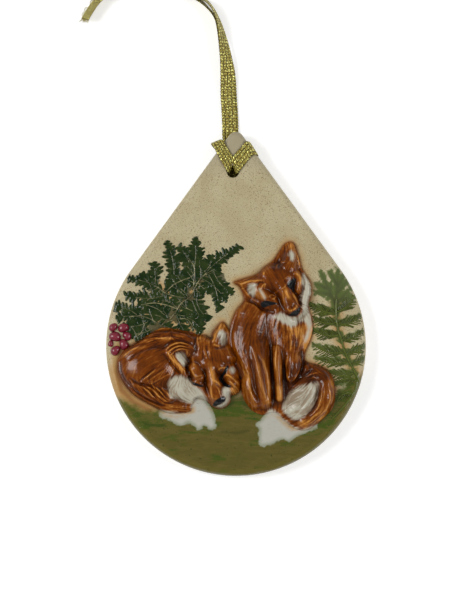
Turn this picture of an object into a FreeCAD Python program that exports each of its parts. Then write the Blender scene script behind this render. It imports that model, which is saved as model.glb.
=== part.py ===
"""A teardrop stoneware ornament with two foxes in relief, hung on a gold ribbon.

The plaque lies on its back: +Z is out of the decorated face, +Y runs to the drilled tip.
The origin is under the middle of the plaque's length and width, on the plane it lies on.
Fired clay pieces are the plaque, the two fox sprigs, the evergreen sprigs and the berries.
The ribbon is one length: a hitch round the tip, two strands, a knot and two cut tails.
"""
import FreeCAD
import Part

import math
import os

from FreeCAD import Vector

# Plaque: a disc with two straight flanks that run tangent from it to a small round tip.
DISC_R = 35.2
FLANK_LEAN_DEG = 35.8
TIP_R = 2.2
SLAB_T = 5.5
FRONT_EDGE_R = 1.6
BACK_EDGE_R = 0.6
# The back is flat to this far from the tip, then eases up on a large radius, clear of the ribbon.
EASE_LENGTH = 34.0
EASE_R = 260.0
HOLE_R = 1.65
HOLE_FROM_TIP = 11.2
HOLE_SIDE = -0.8
HOLE_EDGE_R = 0.35

# Relief: heights above the plaque's face, and how far round bodies sit sunk in it.
FOX_H = 5.0
SPRIG_H = 0.3
BERRY_R = 1.35
BERRY_H = 0.75
STEM_W = 0.7
LEAF_W = 2.6

# Ribbon: a flat woven band, with the gap it keeps from clay and from its own layers.
RIBBON_W = 4.0
RIBBON_T = 0.3
RIBBON_GAP = 0.05
ARM_FROM_APEX = 5.1
LOOSE_SIDE = 2.2
SNUG_SIDE = 0.25
CROTCH = 3.6
JOINT_GAP = 0.6
STRAND_GAP = 0.1
STRAND_SHIFT = 0.5
STRAND_SPREAD = 0.5
KNOT_R = 2.3
KNOT_LENGTH = 6.4
KNOT_WRAP_R = 1.1
KNOT_LEAN = 27

# One cut reaches this far past what it cuts.
OVERRUN = 20.0
# Pieces of one solid are sunk this far into each other before they are joined.
BITE = 0.05

# An arc at a bend takes this share of the shorter run beside it, and the band has this many
# sections between an arc's ends.
ARC_SHARE = 0.45
ARC_SECTIONS = 3

# Places worked out from the sizes.
FLANK_LEAN = math.radians(FLANK_LEAN_DEG)
APEX_RISE = DISC_R / math.sin(FLANK_LEAN)
TIP_RISE = APEX_RISE - TIP_R * (1 / math.sin(FLANK_LEAN) - 1)
HALF_LENGTH = (DISC_R + TIP_RISE) / 2
DISC_Y = DISC_R - HALF_LENGTH
APEX_Y = DISC_Y + APEX_RISE
TIP_Y = HALF_LENGTH
TIP = Vector(0, TIP_Y, 0)
HOLE = TIP + Vector(HOLE_SIDE, -HOLE_FROM_TIP, 0)
UP = Vector(0, 0, 1)

# Foxes: tapered round bodies from one end ball to the other, in shares of the disc's radius
# from its centre: (x, y, ball radius) at each end, then the height in shares of FOX_H.
SITTING_SHARES = {
    "chest": ((0.36, 0.10, 0.23), (0.41, -0.10, 0.18), 0.76),
    "back": ((0.17, 0.15, 0.20), (0.15, -0.06, 0.19), 0.72),
    "haunch": ((0.20, -0.20, 0.17), (0.22, -0.42, 0.12), 0.90),
    "near_foreleg": ((0.33, -0.14, 0.09), (0.31, -0.47, 0.07), 0.76),
    "far_foreleg": ((0.46, -0.08, 0.10), (0.43, -0.24, 0.06), 0.66),
    "skull": ((0.29, 0.50, 0.18), (0.36, 0.40, 0.17), 0.88),
    "muzzle": ((0.38, 0.40, 0.11), (0.45, 0.27, 0.06), 1.00),
    "cheek": ((0.49, 0.44, 0.09), (0.26, 0.36, 0.11), 0.72),
    "upper_ear": ((0.42, 0.62, 0.11), (0.43, 0.77, 0.02), 0.62),
    "lower_ear": ((0.16, 0.43, 0.11), (0.02, 0.48, 0.02), 0.60),
    "lap": ((0.48, -0.24, 0.11), (0.44, -0.42, 0.14), 0.56),
    "tail_root": ((0.54, -0.20, 0.11), (0.62, -0.26, 0.13), 0.66),
    "tail_bend": ((0.61, -0.28, 0.14), (0.62, -0.44, 0.13), 0.80),
    "tail_tip": ((0.58, -0.48, 0.14), (0.42, -0.46, 0.11), 0.72),
}
SLEEPING_SHARES = {
    "rump": ((-0.72, -0.13, 0.17), (-0.68, -0.24, 0.16), 0.92),
    "back": ((-0.70, -0.06, 0.14), (-0.42, -0.01, 0.13), 0.72),
    "flank": ((-0.62, -0.14, 0.18), (-0.46, -0.20, 0.16), 0.80),
    "shoulder": ((-0.42, -0.08, 0.13), (-0.34, -0.20, 0.12), 0.70),
    "lower_ear": ((-0.48, -0.04, 0.08), (-0.36, -0.08, 0.09), 0.82),
    "tail": ((-0.66, -0.34, 0.12), (-0.40, -0.38, 0.12), 0.62),
    "paws": ((-0.38, -0.36, 0.11), (-0.27, -0.42, 0.09), 0.50),
    "brow": ((-0.24, -0.06, 0.16), (-0.14, -0.12, 0.17), 0.95),
    "cheeks": ((-0.28, -0.24, 0.11), (-0.06, -0.24, 0.11), 0.78),
    "muzzle": ((-0.18, -0.24, 0.09), (-0.13, -0.40, 0.07), 1.00),
    "upper_ear": ((-0.10, 0.02, 0.09), (-0.11, 0.16, 0.02), 0.72),
}
# Berries: places in shares of the disc's radius, with each one's size as a share of BERRY_R.
BERRY_SHARES = [
    (-0.944, 0.137, 0.85),
    (-0.865, 0.133, 0.95),
    (-0.929, 0.066, 1.10),
    (-0.836, 0.070, 0.75),
    (-0.860, 0.004, 0.95),
    (-0.962, 0.012, 0.62),
    (-0.926, -0.042, 0.95),
]
# Evergreen stems: points in shares of the disc's radius, then branchlets along each stem as
# (share along the stem, lean in degrees from it, length in shares of the disc's radius).
LEFT_STEM_SHARES = [(-0.64, 0.08), (-0.47, 0.24), (-0.34, 0.37), (-0.27, 0.49), (-0.10, 0.68)]
LEFT_BRANCH_SHARES = [
    (0.10, 70, 0.34),
    (0.24, 62, 0.48),
    (0.38, 55, 0.46),
    (0.52, 48, 0.44),
    (0.68, 40, 0.34),
    (0.20, -50, 0.30),
    (0.44, -62, 0.34),
    (0.60, -58, 0.32),
    (0.76, -50, 0.20),
]
RIGHT_STEM_SHARES = [(0.92, -0.27), (0.84, -0.06), (0.79, 0.10), (0.77, 0.32), (0.78, 0.56)]
RIGHT_BRANCH_SHARES = [
    (0.08, 60, 0.20),
    (0.22, 56, 0.24),
    (0.36, 54, 0.24),
    (0.50, 50, 0.22),
    (0.64, 48, 0.20),
    (0.80, 36, 0.17),
    (0.24, -44, 0.12),
    (0.38, -46, 0.14),
    (0.52, -46, 0.17),
    (0.66, -42, 0.18),
    (0.80, -38, 0.14),
]

# Ribbon routes: the middle of the two strands, and the middle of each tail, as they lie. Each
# point is across from the plaque's middle line, past its tip, and above what it lies on.
STRAND_ROUTE = [
    (-1.5, 0.9, 0.76),
    (-1.6, 5.3, 0.52),
    (-2.0, 10.7, 0.66),
    (-2.1, 16.3, 1.60),
    (-2.8, 21.7, 2.40),
    (-4.3, 26.7, 2.30),
    (-6.4, 31.5, 2.24),
    (-10.4, 35.5, 2.22),
    (-16.0, 38.7, 2.25),
    (-22.4, 40.5, 2.30),
    (-28.8, 40.7, 2.45),
]
NEAR_TAIL_ROUTE = [(-35.0, 39.4, 2.20), (-37.4, 37.4, 1.98), (-39.5, 34.4, 1.90), (-41.6, 30.4, 1.90)]
FAR_TAIL_ROUTE = [(-35.2, 41.8, 1.50), (-38.4, 42.9, 0.95), (-41.7, 43.3, 0.55), (-44.8, 42.7, 0.35)]
# Shares of the route between which the strands turn from lying flat to standing on edge, and
# between which they stand apart.
STRAND_TWIST_SHARES = (0.20, 0.45)
STRAND_OPEN_SHARES = (0.45, 0.75)
NEAR_TAIL_TURN_DEG = 52


def prism(corners, bottom, top):
    """A flat-sided solid over a polygon, from one height to another."""
    ring = [Vector(x, y, bottom) for x, y in corners]
    return Part.Face(Part.makePolygon(ring + ring[:1])).extrude(UP * (top - bottom))


def joined(solids):
    """One solid made of several that overlap."""
    whole = solids[0].multiFuse(solids[1:]).removeSplitter()
    return whole.Solids[0] if len(whole.Solids) == 1 else whole


def flank_normal(side):
    """The direction straight out of a flank: side is +1 for the right and -1 for the left."""
    return Vector(side * math.cos(FLANK_LEAN), math.sin(FLANK_LEAN), 0)


def flank_point(side, along, out=0.0):
    """A point on a flank's line, measured down from the sharp apex and out from the flank."""
    down = Vector(side * math.sin(FLANK_LEAN), -math.cos(FLANK_LEAN), 0)
    return Vector(0, APEX_Y, 0) + down * along + flank_normal(side) * out


def on_disc(x_share, y_share):
    """A place on the plaque's face, in shares of the disc's radius from its centre."""
    return Vector(x_share * DISC_R, DISC_Y + y_share * DISC_R, SLAB_T)


def teardrop(inset=0.0):
    """The plaque's outline as a face, drawn in by a distance."""
    disc, tip = DISC_R - inset, max(TIP_R - inset, TIP_R / 4)
    tip_y = DISC_Y + disc / math.sin(FLANK_LEAN) - tip / math.sin(FLANK_LEAN)

    def touch(centre_y, radius, side):
        return Vector(0, centre_y, 0) + flank_normal(side) * radius

    edges = [
        Part.Arc(touch(DISC_Y, disc, -1), Vector(0, DISC_Y - disc, 0), touch(DISC_Y, disc, 1)),
        Part.LineSegment(touch(DISC_Y, disc, 1), touch(tip_y, tip, 1)),
        Part.Arc(touch(tip_y, tip, 1), Vector(0, tip_y + tip, 0), touch(tip_y, tip, -1)),
        Part.LineSegment(touch(tip_y, tip, -1), touch(DISC_Y, disc, -1)),
    ]
    return Part.Face(Part.Wire([e.toShape() for e in edges]))


def back_ease():
    """What is taken off the back towards the tip, so that the ribbon lies under it."""
    start = TIP_Y - EASE_LENGTH
    end = TIP_Y + OVERRUN
    rise = EASE_R - math.sqrt(EASE_R**2 - (end - start) ** 2)
    middle = (end + start) / 2
    middle_rise = EASE_R - math.sqrt(EASE_R**2 - (middle - start) ** 2)

    def at(y, z):
        return Vector(-DISC_R - OVERRUN, y, z)

    edges = [
        Part.Arc(at(start, 0), at(middle, middle_rise), at(end, rise)),
        Part.LineSegment(at(end, rise), at(end, -OVERRUN)),
        Part.LineSegment(at(end, -OVERRUN), at(start, -OVERRUN)),
        Part.LineSegment(at(start, -OVERRUN), at(start, 0)),
    ]
    profile = Part.Face(Part.Wire([e.toShape() for e in edges]))
    return profile.extrude(Vector(2 * (DISC_R + OVERRUN), 0, 0))


def make_plaque():
    """The fired slab: teardrop, eased back, rounded edges and a drilled hole."""
    slab = teardrop().extrude(UP * SLAB_T)
    front = [e for e in slab.Edges if e.BoundBox.ZMin > SLAB_T / 2]
    slab = slab.makeFillet(FRONT_EDGE_R, front)
    slab = slab.cut(back_ease())
    back = [e for e in slab.Edges if is_back_rim(e)]
    slab = slab.makeFillet(BACK_EDGE_R, back)
    drill = Part.makeCylinder(HOLE_R, SLAB_T + 2 * OVERRUN, HOLE - UP * OVERRUN)
    slab = slab.cut(drill)
    mouth = [e for e in slab.Edges if is_hole_mouth(e)]
    return slab.makeFillet(HOLE_EDGE_R, mouth)


def is_back_rim(edge):
    """Whether an edge runs round the outside of the back."""
    low_enough = edge.BoundBox.ZMax < SLAB_T - FRONT_EDGE_R
    flat = edge.BoundBox.ZLength < (SLAB_T - FRONT_EDGE_R) / 2
    start = TIP_Y - EASE_LENGTH
    crossing = edge.BoundBox.YLength < BACK_EDGE_R and abs(edge.BoundBox.YMin - start) < BACK_EDGE_R
    standing = edge.BoundBox.XLength < BITE and edge.BoundBox.YLength < BITE
    return low_enough and flat and not crossing and not standing


def is_hole_mouth(edge):
    """Whether an edge is the hole's rim on the front face."""
    box = edge.BoundBox
    near = math.hypot(box.Center.x - HOLE.x, box.Center.y - HOLE.y) < HOLE_R
    return near and box.ZMin > SLAB_T - BITE and box.XLength > HOLE_R


def tapered(start, start_r, end, end_r):
    """Two balls and the cone that touches both, as one turned solid."""
    axis = end - start
    length = axis.Length
    if length <= abs(start_r - end_r):
        return Part.makeSphere(max(start_r, end_r), start if start_r > end_r else end)
    slope = math.asin((start_r - end_r) / length)

    def rim(centre, radius, turn):
        return Vector(radius * math.cos(turn), 0, centre + radius * math.sin(turn))

    halfway = (slope - math.pi / 2) / 2, (slope + math.pi / 2) / 2
    edges = [
        Part.Arc(Vector(0, 0, -start_r), rim(0, start_r, halfway[0]), rim(0, start_r, slope)),
        Part.LineSegment(rim(0, start_r, slope), rim(length, end_r, slope)),
        Part.Arc(
            rim(length, end_r, slope), rim(length, end_r, halfway[1]), Vector(0, 0, length + end_r)
        ),
        Part.LineSegment(Vector(0, 0, length + end_r), Vector(0, 0, -start_r)),
    ]
    turned = Part.Face(Part.Wire([e.toShape() for e in edges])).revolve(Vector(0, 0, 0), UP, 360)
    turned.Placement = FreeCAD.Placement(start, FreeCAD.Rotation(UP, axis))
    return turned


def make_fox(body_shares):
    """A fox sprig: tapered round bodies, each sunk so that it stands its own height, cut flat."""
    bodies = []
    for (x0, y0, r0), (x1, y1, r1), height in body_shares.values():
        ends = []
        for x, y, r in ((x0, y0, r0), (x1, y1, r1)):
            # A ball that shows a cap of this radius and height is larger than the cap.
            cap_r = r * DISC_R
            cap_h = min(height * FOX_H, cap_r) * min(1, math.sqrt(r / max(r0, r1)))
            ball_r = (cap_r**2 + cap_h**2) / (2 * cap_h)
            ends.append((on_disc(x, y) + UP * (cap_h - ball_r), ball_r))
        (start, start_r), (end, end_r) = ends
        bodies.append(tapered(start, start_r, end, end_r))
    whole = bodies[0].multiFuse(bodies[1:])
    above = Part.makeBox(
        2 * (DISC_R + OVERRUN),
        4 * DISC_R,
        OVERRUN,
        Vector(-DISC_R - OVERRUN, DISC_Y - 2 * DISC_R, SLAB_T),
    )
    return joined(whole.common(above).Solids)


def polyline_place(points, share):
    """The place and direction at a share of a line's length."""
    lengths = [(b - a).Length for a, b in zip(points, points[1:])]
    left = share * sum(lengths)
    for a, b, length in zip(points, points[1:], lengths):
        if left <= length or b is points[-1]:
            return a + (b - a) * (left / length), (b - a).normalize()
        left -= length


def strip_corners(start, end, start_w, end_w):
    """The four corners of a flat tapering strip."""
    across = UP.cross(end - start).normalize()
    return [
        (p.x, p.y)
        for p in (
            start + across * (start_w / 2),
            start - across * (start_w / 2),
            end - across * (end_w / 2),
            end + across * (end_w / 2),
        )
    ]


def leaf_corners(start, direction, length):
    """A long six-sided branchlet: widest a third of the way out, pointed at its end."""
    across = UP.cross(direction)
    outline_shares = [(0, 0.15), (0.35, 0.5), (0.8, 0.32), (1, 0), (0.8, -0.32), (0.35, -0.5), (0, -0.15)]
    places = [start + direction * (a * length) + across * (b * LEAF_W) for a, b in outline_shares]
    return [(p.x, p.y) for p in places]


def make_sprig(stem_shares, branch_shares):
    """An evergreen sprig in low relief: a stem and its branchlets, inside the flat of the face."""
    stem = [on_disc(*s) for s in stem_shares]
    top = SLAB_T + SPRIG_H
    flats = [prism(strip_corners(a, b, STEM_W, STEM_W), SLAB_T, top) for a, b in zip(stem, stem[1:])]
    for share, lean, length in branch_shares:
        place, along = polyline_place(stem, share)
        turned = FreeCAD.Rotation(UP, lean).multVec(along)
        flats.append(prism(leaf_corners(place, turned, length * DISC_R), SLAB_T, top))
    place, along = polyline_place(stem, 1)
    flats.append(prism(leaf_corners(place - along * LEAF_W, along, 2 * LEAF_W), SLAB_T, top))
    whole = flats[0].multiFuse(flats[1:])
    flat_face = teardrop(FRONT_EDGE_R + BITE).extrude(UP * OVERRUN)
    return whole.common(flat_face).removeSplitter()


def make_berries(beneath):
    """Low round beads of red slip, each fitted to the face or the rounded rim below it."""
    beads = []
    for x, y, size in BERRY_SHARES:
        cap_r, cap_h = BERRY_R * size, BERRY_H * size
        ball_r = (cap_r**2 + cap_h**2) / (2 * cap_h)
        place = on_disc(x, y)
        out = math.hypot(x, y) * DISC_R - (DISC_R - FRONT_EDGE_R)
        if out > 0:
            drop = FRONT_EDGE_R - math.sqrt(max(FRONT_EDGE_R**2 - out**2, 0))
            place = place - UP * drop
        ball = Part.makeSphere(ball_r, place + UP * (cap_h - ball_r))
        beads.append(max(ball.cut(beneath).Solids, key=lambda s: s.BoundBox.ZMax))
    return Part.makeCompound(beads)


def rounded_path(route):
    """Places and directions along straight runs joined by tangent arcs, with the arcs' radii."""
    points = [TIP + Vector(*p) for p in route]
    stations = [(points[0], (points[1] - points[0]).normalize())]
    radii = []
    for before, corner, after in zip(points, points[1:], points[2:]):
        run_in, run_out = (corner - before).normalize(), (after - corner).normalize()
        half_turn = run_in.getAngle(run_out) / 2
        setback = ARC_SHARE * min((corner - before).Length, (after - corner).Length)
        radius = setback / math.tan(half_turn)
        radii.append(radius)
        centre = corner + (run_out - run_in).normalize() * (radius / math.cos(half_turn))
        axis = run_in.cross(run_out)
        begin = corner - run_in * setback
        for k in range(ARC_SECTIONS + 1):
            turn = FreeCAD.Rotation(axis, math.degrees(2 * half_turn * k / ARC_SECTIONS))
            stations.append((centre + turn.multVec(begin - centre), turn.multVec(run_in)))
    stations.append((points[-1], (points[-1] - points[-2]).normalize()))
    return stations, radii


def smooth(share, low, high):
    """Eases from 0 at low to 1 at high."""
    t = min(1, max(0, (share - low) / (high - low)))
    return t * t * (3 - 2 * t)


def band(route, turn_at, shift_at):
    """A flat ribbon along a route. turn_at and shift_at take a share of its length: the turn from
    lying flat, and the shifts of its middle along its width and through its thickness."""
    stations, radii = rounded_path(route)
    lengths = [0.0]
    for (a, _), (b, _) in zip(stations, stations[1:]):
        lengths.append(lengths[-1] + (b - a).Length)
    wires = []
    for (place, along), length in zip(stations, lengths):
        share = length / lengths[-1]
        side = UP.cross(along).normalize()
        lift = along.cross(side)
        turn = turn_at(share)
        wide = side * math.cos(turn) + lift * math.sin(turn)
        thick = lift * math.cos(turn) - side * math.sin(turn)
        across, through = shift_at(share)
        middle = place + wide * across + thick * through
        half_w, half_t = wide * (RIBBON_W / 2), thick * (RIBBON_T / 2)
        ring = [middle + half_w + half_t, middle - half_w + half_t]
        ring += [middle - half_w - half_t, middle + half_w - half_t]
        wires.append(Part.makePolygon(ring + ring[:1]))
    solid = Part.makeLoft(wires, True, True)
    return solid, lengths[-1], radii


def make_strand(layer):
    """One of the two strands: layer is +1 for the upper and -1 for the lower."""

    def turn_at(share):
        return math.pi / 2 * smooth(share, *STRAND_TWIST_SHARES)

    def shift_at(share):
        low, high = STRAND_OPEN_SHARES
        opened = math.sin(math.pi * min(1, max(0, (share - low) / (high - low))))
        apart = (RIBBON_T + STRAND_GAP) / 2 + STRAND_SPREAD * opened**2
        flat = 1 - smooth(share, *STRAND_TWIST_SHARES)
        return layer * STRAND_SHIFT / 2 * flat, layer * apart

    return band(STRAND_ROUTE, turn_at, shift_at)


def make_tail(route, turn_deg):
    """A cut end of the ribbon past the knot, leant over from lying flat."""
    return band(route, lambda share: math.radians(turn_deg), lambda share: (0, 0))


def make_knot():
    """The overhand knot that closes the loop: a core along the strands and a turn round it."""
    end = TIP + Vector(*STRAND_ROUTE[-1])
    core_r = KNOT_R - KNOT_WRAP_R / 2
    start = Vector(end.x - core_r, end.y, KNOT_R + RIBBON_T)
    along = Vector(-1, 0, 0)
    core = tapered(start, core_r, start + along * (KNOT_LENGTH - 2 * core_r), core_r)
    middle = start + along * ((KNOT_LENGTH - 2 * core_r) / 2)
    lean = FreeCAD.Rotation(UP, KNOT_LEAN).multVec(along)
    turn = Part.makeTorus(KNOT_R - KNOT_WRAP_R / 2, KNOT_WRAP_R, middle, lean)
    flat = Part.makeBox(
        2 * OVERRUN, 2 * OVERRUN, OVERRUN, Vector(middle.x - OVERRUN, middle.y - OVERRUN, 0)
    )
    return joined(core.fuse(turn).common(flat).Solids)


def front_arm(side, out):
    """The ribbon on the front face, from the hole to one flank and past it."""
    low = SLAB_T + RIBBON_GAP
    hole_side = HOLE + Vector(side * HOLE_R * math.cos(FLANK_LEAN), 0, 0)
    corners = [
        flank_point(side, ARM_FROM_APEX, out),
        flank_point(side, ARM_FROM_APEX + RIBBON_W, out),
        hole_side,
        HOLE,
        HOLE + Vector(0, CROTCH, 0),
    ]
    return prism([(p.x, p.y) for p in corners], low, low + RIBBON_T)


def side_wrap(side, out):
    """The ribbon going round a flank, from the front arm down to the bar behind."""
    inner = flank_point(side, ARM_FROM_APEX, out)
    outer = flank_point(side, ARM_FROM_APEX, out + RIBBON_T)
    far_inner = flank_point(side, ARM_FROM_APEX + RIBBON_W, out)
    far_outer = flank_point(side, ARM_FROM_APEX + RIBBON_W, out + RIBBON_T)
    corners = [(p.x, p.y) for p in (inner, outer, far_outer, far_inner)]
    return prism(corners, RIBBON_GAP, SLAB_T + RIBBON_GAP + RIBBON_T)


def back_bar(right_out, left_out):
    """The bight of the ribbon across the back, under the two strands."""
    corners = [
        flank_point(1, ARM_FROM_APEX, right_out),
        flank_point(1, ARM_FROM_APEX + RIBBON_W, right_out),
        flank_point(-1, ARM_FROM_APEX + RIBBON_W, left_out),
        flank_point(-1, ARM_FROM_APEX, left_out),
    ]
    return prism([(p.x, p.y) for p in corners], RIBBON_GAP, RIBBON_GAP + RIBBON_T)


def hole_bundle():
    """The two folded layers that fill the upper part of the hole."""
    radius = HOLE_R - RIBBON_GAP
    bottom = RIBBON_GAP
    bundle = Part.makeCylinder(radius, SLAB_T + RIBBON_GAP + RIBBON_T - bottom, HOLE + UP * bottom)
    open_part = Part.makeBox(
        2 * OVERRUN, OVERRUN, 2 * OVERRUN, HOLE + Vector(-OVERRUN, -OVERRUN - HOLE_R / 4, -OVERRUN)
    )
    return bundle.cut(open_part)


def under_tip(layer):
    """One of the two strands between the hole and the tip, over the bar."""
    first = Vector(*STRAND_ROUTE[0])
    hole = HOLE - TIP
    bar = flank_point(1, ARM_FROM_APEX + RIBBON_W) - TIP
    near_z = RIBBON_GAP + RIBBON_T + RIBBON_GAP / 2
    route = [
        (hole.x, hole.y, near_z),
        ((hole.x + first.x) / 2 + RIBBON_GAP, (hole.y + bar.y) / 2, near_z + RIBBON_GAP),
        (first.x, bar.y, first.z),
        (first.x - RIBBON_GAP, first.y - JOINT_GAP, first.z),
    ]
    apart = (RIBBON_T + RIBBON_GAP) / 2
    return band(route, lambda share: 0, lambda share: (0, layer * apart))[0]


def make_hitch():
    """The cow hitch round the tip: out of the hole, round both flanks and across behind."""
    right_out, left_out = SNUG_SIDE, LOOSE_SIDE
    pieces = [
        front_arm(1, right_out + BITE),
        front_arm(-1, left_out + BITE),
        side_wrap(1, right_out),
        side_wrap(-1, left_out),
        back_bar(right_out + BITE, left_out + BITE),
        hole_bundle(),
        under_tip(1),
        under_tip(-1),
    ]
    return joined(pieces)


def main():
    os.makedirs("parts", exist_ok=True)
    plaque = make_plaque()
    upper, upper_length, radii = make_strand(1)
    lower, lower_length, _ = make_strand(-1)
    near_tail, near_length, near_radii = make_tail(NEAR_TAIL_ROUTE, NEAR_TAIL_TURN_DEG)
    far_tail, far_length, far_radii = make_tail(FAR_TAIL_ROUTE, 0)
    sleeping_fox = make_fox(SLEEPING_SHARES)
    sitting_fox = make_fox(SITTING_SHARES).cut(sleeping_fox)
    foxes = sleeping_fox.fuse(sitting_fox)
    berries = make_berries(plaque.fuse(sleeping_fox))
    covered = foxes.fuse(berries)
    nodes = {
        "plaque": plaque,
        "sitting_fox": sitting_fox,
        "sleeping_fox": sleeping_fox,
        "evergreen_left": make_sprig(LEFT_STEM_SHARES, LEFT_BRANCH_SHARES).cut(covered),
        "evergreen_right": make_sprig(RIGHT_STEM_SHARES, RIGHT_BRANCH_SHARES).cut(covered),
        "berries": berries,
        "ribbon_hitch": make_hitch(),
        "ribbon_strand_upper": upper,
        "ribbon_strand_lower": lower,
        "ribbon_knot": make_knot(),
        "ribbon_tail_near": near_tail,
        "ribbon_tail_far": far_tail,
    }
    for name, shape in nodes.items():
        shape.exportStep(f"parts/{name}.step")
        print(name, "valid" if shape.isValid() else "INVALID", len(shape.Solids), round(shape.Volume, 2))
    for name, solid, length, bends in (
        ("strand", upper, upper_length, radii),
        ("lower strand", lower, lower_length, radii),
        ("near tail", near_tail, near_length, near_radii),
        ("far tail", far_tail, far_length, far_radii),
    ):
        section = RIBBON_W * RIBBON_T
        print(
            f"{name}: {length:.1f} mm, volume {solid.Volume:.1f} against {section * length:.1f}, "
            f"radii {[round(r, 1) for r in bends]}"
        )


main()
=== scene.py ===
"""A teardrop stoneware ornament with two foxes in relief, hung on a gold ribbon.

The plaque lies on its back: the decorated face looks up +Z and the drilled tip points to +Y.
Foxes and sprigs are height fields over the plaque's face. Their places are in the photograph's
pixels, so that they can be laid against it, and their heights are in millimetres.
"""
import math

import bmesh
import bpy
import mathutils
import numpy as np
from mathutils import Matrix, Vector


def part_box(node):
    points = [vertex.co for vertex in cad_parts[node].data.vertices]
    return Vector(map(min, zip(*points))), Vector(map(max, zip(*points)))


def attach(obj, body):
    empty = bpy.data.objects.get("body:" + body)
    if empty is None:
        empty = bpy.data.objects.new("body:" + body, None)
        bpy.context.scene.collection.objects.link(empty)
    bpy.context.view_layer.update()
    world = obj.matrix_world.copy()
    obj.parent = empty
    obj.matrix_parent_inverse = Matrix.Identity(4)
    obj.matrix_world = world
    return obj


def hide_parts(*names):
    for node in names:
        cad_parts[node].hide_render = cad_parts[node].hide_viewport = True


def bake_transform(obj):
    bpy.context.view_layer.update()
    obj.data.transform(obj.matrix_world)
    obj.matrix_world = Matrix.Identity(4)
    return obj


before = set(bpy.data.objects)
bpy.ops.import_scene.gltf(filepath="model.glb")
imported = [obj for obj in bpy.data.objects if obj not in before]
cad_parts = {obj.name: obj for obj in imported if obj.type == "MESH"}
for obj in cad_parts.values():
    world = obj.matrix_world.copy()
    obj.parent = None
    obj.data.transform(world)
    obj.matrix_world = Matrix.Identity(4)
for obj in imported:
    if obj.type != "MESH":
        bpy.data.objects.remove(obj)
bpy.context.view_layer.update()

bl_info = {
    "name": "Fox ornament",
    "version": (1, 0, 0),
    "blender": (4, 5, 0),
    "location": "3D View > Sidebar > Ornament",
    "description": "Builds a teardrop stoneware ornament with two foxes in relief and its gold ribbon",
    "category": "Add Mesh",
}

MM = 0.001

# The plaque in the frame and in the photograph: its width there gives the size of a pixel.
PLAQUE_LOW, PLAQUE_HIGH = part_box("plaque")
PLAQUE_WIDTH_PX = 260
PLAQUE_MIDDLE_PX = (236, 302)
PHOTO_SIZE_PX = (450, 600)
PHOTO_MIDDLE_PX = (225, 300)
PX = (PLAQUE_HIGH.x - PLAQUE_LOW.x) / PLAQUE_WIDTH_PX
PX_MM = PX / MM
TIP_Y = PLAQUE_HIGH.y
UP = np.array([0, 0, 1.0])

# The plaque's own sizes, in millimetres, as it is cut.
DISC_R = PLAQUE_HIGH.x / MM
FLANK_LEAN = math.radians(35.8)
TIP_R = 2.2
SLAB_T = PLAQUE_HIGH.z / MM
FRONT_EDGE_R = 1.6
BACK_EDGE_R = 0.6
EASE_LENGTH = 34.0
EASE_R = 260.0
HOLE_R = 1.65
HOLE_FROM_TIP = 11.2
HOLE_SIDE = -0.8
HOLE_EDGE_R = 0.35
APEX_RISE = DISC_R / math.sin(FLANK_LEAN)
DISC_Y = PLAQUE_LOW.y / MM + DISC_R
TIP_CENTRE_Y = DISC_Y + APEX_RISE - TIP_R / math.sin(FLANK_LEAN)
HOLE = np.array([HOLE_SIDE, TIP_Y / MM - HOLE_FROM_TIP])

# The plaque's mesh: points round it, and rings over its face, back, edges and hole. The face's
# rings crowd by this power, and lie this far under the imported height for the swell.
PLAQUE_COLUMNS = 460
FACE_RINGS = 150
BACK_RINGS = 20
HOLE_ROUND_RINGS = 4
FRONT_ROUND_RINGS = 10
BACK_ROUND_RINGS = 5
WALL_RINGS = 5
BORE_RINGS = 6
FACE_CROWDING = 0.85
FACE_SINK = 0.01
FACE_SWELL_LENGTH = 19.0

# Heights of the slip, the ground's swell, the mould lines and the rim's beads, in millimetres, the
# lines' half widths, and the dark pool under each mould line.
SNOW_H = 0.16
SNOW_SWELL = 0.07
GROUND_SWELL = 0.05
LINE_H = 0.14
MOULD_LINE_PX = 0.7
RIM_BEAD_PX = 1.5
POOL_PX = 1.4
POOL_DROP_PX = 3.0
POOL_DARKNESS = 0.45

# How far amber and green stain the clay round the foxes, the stems, the amber run and the leaves,
# and by how much a frond's stain narrows to its tip.
FOX_HALO_PX = 4.0
STEM_HALO_PX = 7.0
RUN_HALO_PX = 11.0
LEAF_WASH_PX = 4.6
FROND_WASH_PX = 3.9
WASH_TAPER_PX = 1.6
THICKET_PX = 4.4
THICKET_TAPER_PX = 3

# The foxes, in millimetres unless in pixels: limbs, the sheet that joins them, the rim that holds
# them, the fur's strands, and how deep the piece is sunk in the face.
LIMB_POWER = 2.3
LIMB_FILLET = 0.4
SHEET_FILLET = 0.3
FOX_SHEET_H = 0.5
FOX_LEAST_H = 0.6
FOX_RIM_H = 4.4
FOX_RIM_PX = 6
FOX_RIM_POWER = 0.8
FOX_MARGIN_PX = 2
FOX_ROOT = 0.4
FUR_REACH_PX = 6.0
FINE_FUR_LENGTH = 1.1
COARSE_FUR_LENGTH = 1.8

# The sprigs' distance from the rim and their depth under the face, in millimetres.
SPRIG_FROM_RIM = 0.45
SPRIG_ROOT = 1.4

# The studio, in metres: each lamp's name, place, side and share of the power, then floor and wall,
# and between which distances the floor brightens to the far light.
SENSOR_MM = 36
LAMPS = (("window", (-0.46, 0.05, 0.46), 0.27, 1.0), ("bounce", (0.47, -0.03, 0.42), 0.22, 0.62))
FLOOR_REACH = 3.0
FLOOR_SINK = 0.0001
WALL_R = 2.5
WALL_H = 0.5
WALL_SIDES = 96
FAR_MM = (250.0, 1200.0)
FAR_LIGHT = 0.75

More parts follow.
